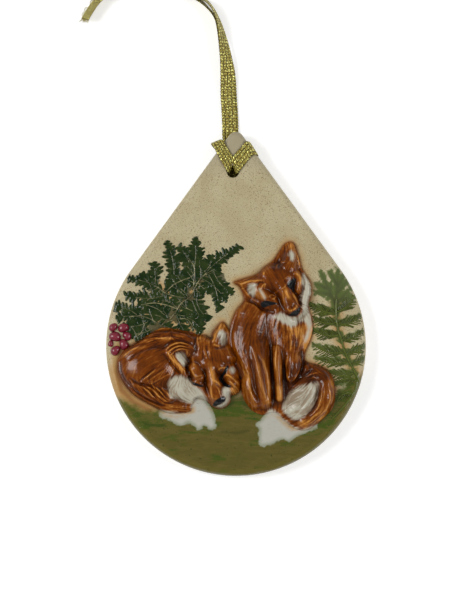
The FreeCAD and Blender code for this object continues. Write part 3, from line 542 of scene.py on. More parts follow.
SLEEPING_WASHES_PX = [
    ([(122, 352), (140, 338), (164, 330), (192, 334), (198, 342), (180, 336), (160, 336),
      (140, 345)], 0.2, 3),
    ([(130, 358), (150, 350), (166, 352), (164, 364), (148, 372), (134, 366)], 0.06, 5),
    ([(120, 366), (134, 388), (158, 402), (160, 408), (140, 400), (122, 384)], 0.22, 3),
    ([(146, 399), (166, 402), (186, 402), (190, 408), (164, 409), (150, 404)], 0.06, 3),
    ([(176, 342), (194, 338), (199, 350), (190, 358)], 0.14, 4),
    ([(166, 352), (176, 354), (186, 374), (180, 376), (170, 364)], -0.16, 3),
    ([(212, 358), (228, 350), (238, 362), (226, 366)], 0.1, 5),
    ([(209, 364), (214, 364), (218, 384), (212, 384)], -0.1, 3),
    ([(229, 388), (240, 388), (240, 396), (232, 396)], -0.25, 3),
    ([(200, 388), (208, 392), (212, 402), (206, 402)], 0.05, 3),
]
FOX_TABLES = {
    "sitting_fox": (SITTING_OUTLINE_PX, SITTING_LIMBS_PX, SITTING_LINES_PX, SITTING_FUR_PX,
                    SITTING_WHITE_PX, SITTING_BLACK_PX, SITTING_WASHES_PX),
    "sleeping_fox": (SLEEPING_OUTLINE_PX, SLEEPING_LIMBS_PX, SLEEPING_LINES_PX, SLEEPING_FUR_PX,
                     SLEEPING_WHITE_PX, SLEEPING_BLACK_PX, SLEEPING_WASHES_PX),
}

# The painted ground's upper edge, the two drifts of thick white slip, and raised lines.
GROUND_LINE_PX = [
    (98, 396), (118, 397), (128, 401), (145, 411), (165, 410), (205, 398), (232, 394), (262, 400),
    (318, 420), (332, 404), (338, 390), (350, 380), (374, 366),
]
LEFT_SNOW_PX = [
    (190, 397), (200, 396), (206, 400), (211, 408), (214.8, 417), (216.5, 426.3), (210.6, 429.7),
    (204.6, 426.3), (198.6, 430), (193.5, 425.4), (188.3, 422.8), (182.4, 426.3), (174.7, 423.7),
    (167, 419.4), (162.5, 418.7), (160, 412), (167.8, 409), (182, 409),
]
RIGHT_SNOW_PX = [
    (270, 406), (262, 417.8), (255, 424.4), (259, 429), (258.2, 438), (260, 445.6), (272, 444),
    (281, 439.6), (288, 441.6), (297, 436), (308, 432), (318, 424), (300, 416), (284, 408),
]
MOULD_LINES_PX = [
    [(144, 420), (155, 422.4), (167, 422)],
    [(218, 428.8), (226, 428.4), (235, 429.6), (247.4, 427.8), (251, 427)],
]
# Beads of pooled glaze along the lower rim.
RIM_BEADS_PX = [
    [(114.4, 352), (113.4, 362), (114.6, 372), (117.4, 384), (120.6, 396), (125, 406)],
    [(133, 416), (141, 421), (148, 427.6), (153.6, 431)],
    [(356, 384), (351, 397), (343, 411), (333, 425), (323, 437), (309, 449)],
]

# Berries: radius and height in millimetres, the foot's angle under the face, sides and rings. Each
# one's place as shares of the disc's radius from its centre, and its size as a share.
BERRY_R = 1.35
BERRY_H = 1.125
BERRY_SINK = 0.35
BERRY_GRID = (28, 14)
BERRY_SHARES = [
    (-0.944, 0.137, 0.85), (-0.865, 0.133, 1.02), (-0.929, 0.066, 1.10), (-0.836, 0.070, 0.88),
    (-0.860, 0.004, 1.02), (-0.962, 0.012, 0.62), (-0.926, -0.042, 0.95),
]

# The dark sprig: woody stems, then fronds from base to tip with a sideways bow in pixels.
LEFT_STEMS_PX = [
    [(150.4, 336.6), (159.4, 327.6), (166, 322.4), (179, 319), (188, 320), (194.4, 329.7)],
    [(170, 319), (175.4, 312.6), (181.4, 303), (190, 297), (197, 283.8), (203, 276), (214, 269.4)],
    [(193.6, 285), (194.4, 268), (188.7, 258.2)],
    [(165, 293), (172, 286), (179, 281.8), (189.5, 277.7)],
    [(184, 298), (174, 296), (164.7, 292.7), (158, 287)],
    [(177, 309), (166, 305), (154, 303), (142, 305)],
    [(160, 325), (150, 319), (140, 316), (130, 317)],
    [(136.4, 337.4), (142, 332), (144, 325.7)],
]
LEFT_FRONDS_PX = [
    ((194.4, 267), (195.2, 239), 1), ((189, 262), (179.6, 247), 1), ((174, 274), (166.6, 242.5), 2),
    ((155, 284), (153.3, 263.5), 1), ((164, 292), (129, 278.6), 3), ((151, 287), (142, 276), 1),
    ((164, 296), (126.5, 295), -3), ((137, 315), (116, 307), 2), ((142, 318), (117.5, 318), 2),
    ((148, 322), (126, 326), -2), ((152, 329), (131, 334), -2), ((137, 337), (128.5, 323.5), 1),
    ((146, 331), (137, 308), 1), ((156, 326), (148, 303), -1), ((162, 312), (140, 305), 2),
    ((200, 280), (239, 247), -3), ((213, 270), (232, 293), 3), ((209, 275), (218.4, 311), -3),
    ((203, 279), (226, 300), -2), ((196, 296), (208.5, 319), 3), ((192, 299), (202, 320), 1),
    ((188, 318), (201, 331), -2), ((178, 319), (185, 330.5), 1), ((182, 303), (197, 312), 2),
    ((201, 284), (181, 275), -2), ((188, 287), (176, 271), -2), ((178, 293), (169, 276), 2),
    ((186, 298), (166, 284), 2), ((178, 309), (156, 300), 3), ((171, 317), (157, 307), -2),
    ((166, 321), (151, 315), 2), ((182, 305), (171, 294), 2), ((204, 272), (212, 256), 2),
    ((174, 313), (188, 316), 1), ((180, 304), (192, 309), 2), ((188, 297), (178, 287), 1),
    ((198, 283), (208, 290), 1), ((162, 325), (172, 331), -1), ((168, 320), (160, 309), 2),
    ((193, 286), (203, 294), 1), ((196, 282), (186, 268), -1), ((201, 279), (198, 261), 1),
    ((194, 275), (184, 264), 1), ((206, 275), (218, 268), 1), ((186, 298), (188, 312), 1),
]
# The olive sprig: stems, three soft leaves at its top, then feathered fronds.
RIGHT_STEMS_PX = [
    [(359, 381.8), (354, 371), (348.2, 360.2), (344, 350), (341.4, 340.5), (338, 330), (336.5, 321),
     (336, 311), (336.5, 300)],
    [(357, 381), (355, 389.6), (348, 400.4), (340.4, 409.3), (332, 418)],
]
RIGHT_LEAVES_PX = [
    ((335, 303), (321.5, 273)), ((326, 288), (317, 284)), ((329, 294), (316, 292)),
    ((330, 296), (331, 284)), ((336, 303), (338, 270)), ((337, 284), (330, 272)),
    ((338, 286), (344, 275)), ((338, 292), (347, 281)), ((338, 302), (351, 288)),
    ((341, 300), (350, 296)),
]
RIGHT_FRONDS_PX = [
    ((337, 312), (354.6, 297), 2),
    ((336.4, 313), (310, 303.6), -3), ((337.4, 322), (315, 319), -3), ((338, 324), (360, 316), 3),
    ((340, 335), (314, 330), -3), ((341, 340), (362, 331), 3), ((344, 352), (314, 345), -4),
    ((346, 354), (364, 345), 2), ((348, 361), (316, 358), -4), ((351, 364), (364, 358), 1),
    ((354, 373), (328, 372), -3), ((357, 381), (336, 383), 3), ((352, 393), (334, 400), 2),
]
# Leaf shapes, in pixels and radians: the leaflets' spacing, length, slant, curl, half width, swell
# and unevenness, the stems' half width, the grid's step and the height in millimetres.
LEFT_LEAVES = (3.5, 8.6, 0.85, -0.3, 1.5, 0.5, 0.4, 0.42, 0.36, 0.28)
RIGHT_LEAVES = (2.1, 8.5, 0.72, 0.15, 0.48, 0.0, 0.3, 0.95, 0.26, 0.17)
# The sheets that carry the leaves, and a run of amber between the fox and the left rim.
LEFT_BOUND_PX = [
    (110, 300), (121, 287), (121, 274), (140, 266), (146, 256), (160, 238), (176, 242), (192, 233),
    (206, 246), (222, 244), (240, 240), (245, 250), (238, 262), (232, 272), (238, 290), (228, 305),
    (212, 318), (207, 333), (190, 336), (160, 338), (138, 342), (122, 338), (112, 318),
]
RIGHT_BOUND_PX = [
    (309, 296), (314, 268), (320, 264), (336, 264), (348, 263), (356, 276), (360, 296), (364, 316),
    (367, 335), (367, 355), (364, 376), (358, 392), (346, 410), (333, 421), (328, 414), (331, 398),
    (332, 386), (321, 376), (310, 360), (310, 330), (307, 310),
]
OCHRE_RUN_PX = [(122, 350), (117.5, 372), (122, 390), (134, 402), (150, 410)]


def paint(red, green, blue):
    """A colour as the eye reads it, 0 to 255, turned to the linear light that shaders mix."""
    shares = np.array([red, green, blue]) / 255
    return tuple(np.where(shares <= 0.04045, shares / 12.92, ((shares + 0.055) / 1.055) ** 2.4))


def hue(name, description, *seen):
    """A colour setting, whose default is given as the eye reads it."""
    return bpy.props.FloatVectorProperty(
        name=name, description=description, default=paint(*seen), size=3, min=0, max=1, subtype="COLOR")


def number(name, description, default, low, high, unit="LENGTH", precision=5):
    """A number setting between its limits, a length unless its unit says otherwise."""
    return bpy.props.FloatProperty(
        name=name, description=description, default=default, min=low, max=high, unit=unit,
        precision=precision)


class OrnamentClay(bpy.types.PropertyGroup):
    """Colours of the clay, the ground glaze and the thick white slip."""

    clay: hue("Clay", "Pale stoneware under a thin satin glaze", 186, 175, 139)
    speckle: hue("Speckle", "Iron specks in the clay", 112, 84, 52)
    ochre: hue("Ochre", "Amber glaze that has bled into the clay", 178, 132, 62)
    moss: hue("Moss", "Green of the ground", 66, 82, 10)
    earth: hue("Earth", "Brown of the ground", 92, 83, 29)
    olive: hue("Olive", "Thin green of the right sprig", 72, 90, 16)
    slip: hue("White slip", "Thick white slip laid as snow", 184, 182, 170)
    wander: number("Hand wobble", "How far the hand-worked face rises and falls", 0.00008, 0, 0.0005)


class OrnamentFox(bpy.types.PropertyGroup):
    """Colours and relief of the two foxes."""

    deep: hue("Pooled amber", "Glaze where it lies thick in the creases", 46, 14, 0)
    amber: hue("Amber", "Glaze over the rounded fur", 122, 58, 0)
    thin: hue("Thin amber", "Glaze that breaks over sharp ridges", 214, 146, 66)
    white: hue("White fur", "White slip on ears, bib and tail", 192, 187, 168)
    black: hue("Eyes and nose", "Black underglaze", 20, 21, 23)
    cell: number("Grid step", "Spacing of the relief's points", 0.00013, 0.00008, 0.001, precision=6)
    fur_depth: number("Fur depth", "Scale of the combed fur", 0.16, 0, 2, "NONE", 2)


class OrnamentSprig(bpy.types.PropertyGroup):
    """Colours of the evergreen sprigs and the berries."""

    dark: hue("Dark green", "Thick green slip of the left sprig", 10, 36, 2)
    tip: hue("Leaf tips", "Where the dark green thins to olive", 48, 62, 16)
    needle: hue("Needles", "Fine needles of the right sprig", 72, 80, 28)
    vein: hue("Veins", "Stems and the pale edges between leaves", 156, 148, 110)
    berry: hue("Berry", "Crimson slip", 104, 12, 32)


class OrnamentRibbon(bpy.types.PropertyGroup):
    """Sizes and colours of the knitted gold ribbon."""

    width: number("Width", "Width of the ribbon", 0.004, 0.002, 0.01, precision=4)
    thickness: number("Thickness", "Thickness of the ribbon", 0.0003, 0.0001, 0.001)
    wale: number("Wale", "Width of one column of stitches", 0.001, 0.0003, 0.002)
    stitch: number("Stitch", "Length of one stitch", 0.0008, 0.0003, 0.002)
    gold: hue("Gold", "Metallic yarn", 184, 164, 66)
    # Shade is the painted shade on the yarn deep between the stitches.
    shade: hue("Shade", "Yarn deep in the knit", 48, 34, 3)


class OrnamentStage(bpy.types.PropertyGroup):
    """The camera and the studio light."""

    distance: number("Distance", "From the camera to the plaque's face", 0.5, 0.1, 3, precision=2)
    elevation: number("Elevation", "The camera's height over the floor's line", math.radians(85), 0,
                      math.radians(90), "ROTATION", 2)
    lamp_power: number("Lamp power", "Power of the larger soft lamp", 2.45, 0, 50, "POWER", 2)
    sky: number("Sky", "Strength of the even light from all round", 0.27, 0, 2, "NONE", 2)


def plaque_mm(x, y):
    """Photo columns and rows as millimetres across and up from the plaque's middle."""
    return (x - PLAQUE_MIDDLE_PX[0]) * PX_MM, (PLAQUE_MIDDLE_PX[1] - y) * PX_MM


def from_photo(points):
    """Photo pixels as metres on the plaque: (column - middle) and (middle - row) times a pixel's
    size. A third column is a height in millimetres."""
    places = np.array(points, float)
    places[..., 0], places[..., 1] = plaque_mm(places[..., 0], places[..., 1])
    return places * MM


def smooth_line(points, steps=6, closed=False):
    """A smooth line through given rows, as cubics whose slope at a row is half the step from the
    row before it to the row after it. Extra columns are carried along."""
    p = np.asarray(points, float)
    if closed:
        before, first, second, after = np.roll(p, 1, 0), p, np.roll(p, -1, 0), np.roll(p, -2, 0)
    else:
        padded = np.vstack([2 * p[0] - p[1], p, 2 * p[-1] - p[-2]])
        before, first, second, after = padded[:-3], padded[1:-2], padded[2:-1], padded[3:]
    t = (np.arange(steps) / steps)[None, :, None]
    a, b, c, d = (v[:, None, :] for v in (before, first, second, after))
    line = 2 * b + (c - a) * t + (2 * a - 5 * b + 4 * c - d) * t**2 + (3 * b - a - 3 * c + d) * t**3
    line = line.reshape(-1, p.shape[1]) / 2
    return line if closed else np.vstack([line, p[-1:]])


def along_line(x, y, line):
    """Each place's distance to a line of short runs, the share of the line's length at its nearest
    point, and the line's extra columns there."""
    line = np.asarray(line, float)
    steps = np.hypot(*np.diff(line[:, :2], axis=0).T)
    total, starts = steps.sum(), np.cumsum(steps) - steps
    best, share = np.full(x.shape, np.inf), np.zeros(x.shape)
    carried = [np.zeros(x.shape) for _ in range(line.shape[1] - 2)]
    for a, b, length, start in zip(line[:-1], line[1:], steps, starts):
        if length == 0:
            continue
        ux, uy = (b[:2] - a[:2]) / length
        t = np.clip((x - a[0]) * ux + (y - a[1]) * uy, 0, length)
        distance = np.hypot(x - a[0] - ux * t, y - a[1] - uy * t)
        near = distance < best
        best = np.where(near, distance, best)
        share = np.where(near, (start + t) / total, share)
        for k, column in enumerate(carried):
            carried[k] = np.where(near, a[2 + k] + (b[2 + k] - a[2 + k]) * t / length, column)
    return best, share, carried


def depth_inside(x, y, outline):
    """The distance to a closed outline, positive inside it and negative outside it."""
    ring = smooth_line(outline, 4, True)
    ring = np.vstack([ring, ring[:1]])
    distance = along_line(x, y, ring)[0]
    inside = np.zeros(x.shape, bool)
    for a, b in zip(ring[:-1], ring[1:]):
        if a[1] != b[1]:
            crosses = (a[1] > y) != (b[1] > y)
            inside ^= crosses & (x < (b[0] - a[0]) * (y - a[1]) / (b[1] - a[1]) + a[0])
    return np.where(inside, distance, -distance)


def deepest(x, y, *outlines):
    """The greatest depth inside any of several closed outlines."""
    return np.maximum.reduce([depth_inside(x, y, outline) for outline in outlines])


def soft_max(a, b, k):
    """The higher of two heights, with a fillet of about k: half of a + b + root((a - b)^2 + k^2)."""
    return (a + b + np.sqrt((a - b) ** 2 + k * k)) / 2


def soft_min(a, b, k):
    """The lower of two heights, with a round of about k: half of a + b - root((a - b)^2 + k^2)."""
    return a + b - soft_max(a, b, k)


def ease(value, low, high):
    """Rises from 0 at low to 1 at high as 3t^2 - 2t^3, where t is the share of the way."""
    t = np.clip((value - low) / (high - low), 0, 1)
    return t * t * (3 - 2 * t)


def bell(distance, width):
    """A ridge's section: e to the power of minus (distance / width)^2."""
    return np.exp(-(distance / width) ** 2)


def blurred(field, radius):
    """A grid averaged with a bell-shaped weight of this radius, in cells."""
    rows, columns = field.shape
    pad = int(3 * radius) + 1
    wide = np.pad(field, pad, mode="edge")
    fy, fx = np.fft.fftfreq(wide.shape[0])[:, None], np.fft.rfftfreq(wide.shape[1])
    keep = np.exp(-2 * (np.pi * radius) ** 2 * (fx**2 + fy**2))
    soft = np.fft.irfft2(np.fft.rfft2(wide) * keep, s=wide.shape)
    return soft[pad:pad + rows, pad:pad + columns]


def sampled(field, column, row):
    """A grid read between its cells, as the four nearest weighed by nearness."""
    rows, columns = field.shape
    column = np.clip(column, 0, columns - 1.001)
    row = np.clip(row, 0, rows - 1.001)
    i, j = row.astype(int), column.astype(int)
    v, u = row - i, column - j
    upper = field[i, j] * (1 - u) + field[i, j + 1] * u
    lower = field[i + 1, j] * (1 - u) + field[i + 1, j + 1] * u
    return upper * (1 - v) + lower * v


def guided(x, y, guides):
    """The fur's direction and depth, spread between given places, each weighed by the inverse
    fourth power of its distance."""
    guides = np.array(guides, float)
    turned = np.radians(guides[:, 2])
    columns = np.column_stack([np.cos(turned), np.sin(turned), guides[:, 3]])
    sums = np.zeros((3,) + x.shape)
    total = np.zeros(x.shape)
    for (gx, gy), row in zip(guides[:, :2], columns):
        weight = 1 / ((x - gx) ** 2 + (y - gy) ** 2 + FUR_REACH_PX**2) ** 2
        total += weight
        sums += weight * row[:, None, None]
    across, down, depth = sums / total
    size = np.hypot(across, down) + 1e-9
    return across / size, down / size, depth


def combed(flow_x, flow_y, seed, grain, length):
    """Seeded noise averaged both ways along the lie of the fur, so that it lies in strands."""
    noise = blurred(np.random.default_rng(seed).normal(size=flow_x.shape), grain)
    noise /= noise.std()
    row, column = np.mgrid[0:noise.shape[0], 0:noise.shape[1]].astype(float)
    total = noise.copy()
    for sign in (1, -1):
        r, c = row.copy(), column.copy()
        for _ in range(int(length)):
            fx, fy = sampled(flow_x, c, r), sampled(flow_y, c, r)
            c += sign * fx
            r += sign * fy
            total += sampled(noise, c, r)
    return total / total.std()


def wander(x, y, seed, length):
    """A slow swell: the sum of six seeded waves of about this length, from -1 to 1."""
    rng = np.random.default_rng(seed)
    turns, phases = rng.uniform(0, np.pi, 6), rng.uniform(0, 2 * np.pi, 6)
    spans = length * rng.uniform(0.6, 1.6, 6)
    waves = [np.sin(2 * np.pi * (x * np.cos(a) + y * np.sin(a)) / s + p)
             for a, p, s in zip(turns, phases, spans)]
    return sum(waves) / 3


def grid_faces(rows, columns, wrap_rows=False):
    """Four-sided faces between the neighbours of a grid of points, whose rows are closed rings."""
    r = np.arange(rows if wrap_rows else rows - 1)[:, None]
    c = np.arange(columns)[None, :]
    down, right = (r + 1) % rows, (c + 1) % columns
    corners = [r * columns + c, down * columns + c, down * columns + right, r * columns + right]
    return np.stack([np.broadcast_to(k, (r.size, c.size)) for k in corners], -1).reshape(-1, 4)


def joined(parts):
    """Several shells as one: their points, their blocks of faces and their values at the points."""
    counts = np.cumsum([0] + [len(points) for points, _, _ in parts])
    blocks = [block + count for (_, own, _), count in zip(parts, counts) for block in own]
    return np.vstack([part[0] for part in parts]), blocks, np.concatenate([part[2] for part in parts])


def make_piece(name, points, blocks, layers=None, places=None, foot=None):
    """A mesh object from its points and its blocks of faces, with float layers at the points and, for
    cloth, places across and along it. A foot height closes an open sheet with a wall and a flat
    underside."""
    mesh = bpy.data.meshes.new(name)
    mesh.from_pydata(points, [], [face for block in blocks for face in block.tolist()])
    for layer, values in (layers or {}).items():
        made = mesh.attributes.new(layer, "FLOAT", "POINT")
        made.data.foreach_set("value", np.ravel(values).astype("f"))
    if places is not None:
        corners = np.empty(len(mesh.loops), int)
        mesh.loops.foreach_get("vertex_index", corners)
        mesh.uv_layers.new(name="Cloth").data.foreach_set("uv", places[corners].ravel().astype("f"))
    shell = bmesh.new()
    shell.from_mesh(mesh)
    if foot is not None:
        rim = [edge for edge in shell.edges if edge.is_boundary]
        grown = bmesh.ops.extrude_edge_only(shell, edges=rim)["geom"]
        low = [item for item in grown if isinstance(item, bmesh.types.BMVert)]
        flat = mathutils.Matrix(((1, 0, 0, 0), (0, 1, 0, 0), (0, 0, 0, foot), (0, 0, 0, 1)))
        bmesh.ops.transform(shell, matrix=flat, verts=low)
        rim = [item for item in grown if isinstance(item, bmesh.types.BMEdge) and item.is_boundary]
        bmesh.ops.holes_fill(shell, edges=rim, sides=0)
    bmesh.ops.recalc_face_normals(shell, faces=shell.faces)
    shell.to_mesh(mesh)
    shell.free()
    mesh.polygons.foreach_set("use_smooth", np.ones(len(mesh.polygons), bool))
    piece = bpy.data.objects.new(name, mesh)
    bpy.context.scene.collection.objects.link(piece)
    return piece


def settle(piece, material, body, slot, *nodes):
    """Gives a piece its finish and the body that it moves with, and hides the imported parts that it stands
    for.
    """
    piece.data.materials.append(material)
    if body:
        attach(piece, body)
    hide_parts(*nodes)
    return piece


class Wiring:
    """Adds nodes to one tree. An input that is a socket is joined, and any other is the value."""

    def __init__(self, tree):
        self.tree = tree

    def add(self, kind, inputs=(), **settings):
        """A node of this kind."""
        node = self.tree.nodes.new(kind)
        for name, value in settings.items():
            setattr(node, name, value)
        for key, value in dict(inputs).items():
            socket = node.inputs[key]
            if isinstance(value, bpy.types.NodeSocket):
                self.tree.links.new(value, socket)
            elif socket.type == "RGBA":
                socket.default_value = tuple(value)[:3] + (1.0,)
            else:
                socket.default_value = value
        return node

    def math(self, operation, first, second=0.0, clamp=False):
        """Two numbers put together."""
        node = self.add("ShaderNodeMath", {0: first, 1: second}, operation=operation, use_clamp=clamp)
        return node.outputs[0]

    def plus(self, first, second):
        """The sum of two numbers."""
        return self.math("ADD", first, second)

    def minus(self, first, second):
        """What is left of a number when the second is taken off."""
        return self.math("SUBTRACT", first, second)

    def times(self, first, second):
        """The product of two numbers."""
        return self.math("MULTIPLY", first, second)

    def mix(self, share, first, second):
        """Two colours mixed by a share."""
        return self.add("ShaderNodeMix", {0: share, 6: first, 7: second}, data_type="RGBA").outputs[2]

    def between(self, value, low, high, start=0.0, end=1.0):
        """A number eased from start to end as it goes from low to high."""
        inputs = {"Value": value, "From Min": low, "From Max": high, "To Min": start, "To Max": end}
        return self.add("ShaderNodeMapRange", inputs, interpolation_type="SMOOTHSTEP").outputs[0]

    def noise(self, place, scale, detail=3.0, rough=0.5):
        """Cloudy noise from about 0.2 to 0.8, with this many swells in a millimetre."""
        inputs = {"Vector": place, "Scale": scale, "Detail": detail, "Roughness": rough}
        return self.add("ShaderNodeTexNoise", inputs).outputs[0]

    def stretched(self, place, scale, turn=0.0):
        """The place stretched along each axis and turned about the upright one."""
        inputs = {0: place, "Scale": scale, "Rotation": (0.0, 0.0, turn)}
        return self.add("ShaderNodeMapping", inputs).outputs[0]

    def layer(self, name):
        """A number kept at the mesh's points."""
        return self.add("ShaderNodeAttribute", attribute_name=name).outputs["Fac"]

    def millimetres(self):
        """The place on the object, in millimetres."""
        place = self.add("ShaderNodeTexCoord").outputs["Object"]
        return self.add("ShaderNodeVectorMath", {0: place, "Scale": 1 / MM}, operation="SCALE").outputs[0]

    def group(self, name, place, **values):
        """A shared group's outputs, with this material's own values."""
        return self.add("ShaderNodeGroup", {"Place": place, **values}, node_tree=shared_group(name)).outputs

    def specks(self, place, scale, amount, patch):
        """The kiln's specks and mottle at this scale."""
        return self.group("Kiln speckle", place, Scale=scale, Amount=amount, Patch=patch)

    def brushed(self, place, layer, wobble, softness, scale):
        """The mask of a glaze that is brushed on where a layer is above zero."""
        return self.group("Brushed edge", place, Distance=self.layer(layer), Wobble=wobble,
                          Softness=softness, Scale=scale)["Mask"]


def speckle_wiring(w, entry):
    """Specks: noise over a level that Amount lowers. Mottle: slow noise eased from 0 to 1."""
    grain = w.minus(w.noise(entry["Place"], entry["Scale"], 1.0), w.minus(0.80, entry["Amount"]))
    mottle = w.noise(entry["Place"], entry["Patch"], 4.0, 0.6)
    return w.between(grain, 0.0, 0.06), w.between(mottle, 0.32, 0.68)


def brushed_edge_wiring(w, entry):
    """The mask of a brushed glaze: its distance in from its edge plus a noise wobble, eased over
    Softness on both sides of zero."""
    swing = w.minus(w.noise(entry["Place"], entry["Scale"], 4.0), 0.5)
    reach = w.plus(entry["Distance"], w.times(swing, w.times(entry["Wobble"], 3.0)))
    return (w.between(reach, w.times(entry["Softness"], -1.0), entry["Softness"]),)


def glaze_wiring(w, entry):
    """Height: a slow ripple and a fine orange-peel noise. Sheen: slow noise from 0 to 1."""
    fine = w.times(w.noise(entry["Place"], 4.5, 2.0), entry["Peel"])
    height = w.plus(w.noise(entry["Place"], entry["Ripple"], 2.0), fine)
    return height, w.between(w.noise(entry["Place"], 0.35, 3.0), 0.3, 0.7)


def knit_wiring(w, entry):
    """Stitches: in each wale, two slanted halves meet as a V. Height is high on the yarn and low between
    stitches and wales. Glint: noise over a level, for painted glints on the yarn."""
    across, along = w.add("ShaderNodeSeparateXYZ", {0: entry["Place"]}).outputs[:2]
    wobble = w.times(w.minus(w.noise(entry["Place"], 1.3, 2.0), 0.5), 0.8)

    def from_middle(value):
        """How far a count is from the middle of its own unit, 0 to 0.5."""
        return w.math("ABSOLUTE", w.minus(w.math("FRACT", value), 0.5))

    column = from_middle(w.math("DIVIDE", w.plus(across, wobble), entry["Wale"]))
    row = from_middle(w.plus(w.math("DIVIDE", w.plus(along, wobble), entry["Stitch"]), column))
    yarn_top = w.times(w.between(row, 0.5, 0.22, 0.1, 1.0), w.between(column, 0.5, 0.26))
    height = w.times(yarn_top, w.between(column, 0.0, 0.12, 0.6, 1.0))
    return height, w.between(w.noise(entry["Place"], 2.1, 1.0), 0.52, 0.60)


# Each shared group: what wires it, its numbers with their defaults, and its outputs.
GROUPS = {
    "Kiln speckle": (speckle_wiring, {"Scale": 2.0, "Amount": 0.1, "Patch": 0.15}, ("Specks", "Mottle")),
    "Brushed edge": (brushed_edge_wiring, {"Distance": 0.0, "Wobble": 0.5, "Softness": 0.3, "Scale": 0.7},
                     ("Mask",)),
    "Glaze surface": (glaze_wiring, {"Ripple": 0.5, "Peel": 0.3}, ("Height", "Sheen")),
    "Knitted band": (knit_wiring, {"Wale": 1.0, "Stitch": 0.8}, ("Height", "Glint")),
}


def shared_group(name):
    """The shader group of this name, made on its first use: a place and numbers in, numbers out."""
    tree = bpy.data.node_groups.get(name)
    if tree is None:
        wire, numbers, outputs = GROUPS[name]
        tree = bpy.data.node_groups.new(name, "ShaderNodeTree")
        tree.interface.new_socket(name="Place", in_out="INPUT", socket_type="NodeSocketVector")
        for label, value in numbers.items():
            socket = tree.interface.new_socket(name=label, in_out="INPUT", socket_type="NodeSocketFloat")
            socket.default_value = value
        for label in outputs:
            tree.interface.new_socket(name=label, in_out="OUTPUT", socket_type="NodeSocketFloat")
        w = Wiring(tree)
        w.add("NodeGroupOutput", zip(outputs, wire(w, w.add("NodeGroupInput").outputs)))
    return tree


def tint(colour, *shares):
    """A colour with its lights multiplied by one share, or by three."""
    return [v * k for v, k in zip(colour, shares if len(shares) == 3 else shares * 3)]


def new_material(name):
    """An empty material, its wiring and the place on the object in millimetres."""
    material = bpy.data.materials.new(name)
    material.use_nodes = True
    material.node_tree.nodes.clear()
    w = Wiring(material.node_tree)
    return material, w, w.millimetres()


def finish_material(w, colour, rough, height, relief, specular=0.5, metal=0.0):
    """Joins a colour, a roughness and a bump this deep, in metres, to the material's output."""
    bump = w.add("ShaderNodeBump", {"Strength": 1.0, "Distance": relief, "Height": height}).outputs[0]
    shader = w.add("ShaderNodeBsdfPrincipled", {
        "Base Color": colour, "Roughness": rough, "Normal": bump, "Specular IOR Level": specular,
        "Metallic": metal})
    w.add("ShaderNodeOutputMaterial", {"Surface": shader.outputs[0]})


def finish_glazed(w, place, colour, ripple, peel, gloss, sheen, relief, specular=0.5):
    """A glaze's finish: a rippled surface, whose roughness is the gloss plus a share of its sheen."""
    glaze = w.group("Glaze surface", place, Ripple=ripple, Peel=peel)
    rough = w.plus(gloss, w.times(glaze["Sheen"], sheen))
    finish_material(w, colour, rough, glaze["Height"], relief, specular)


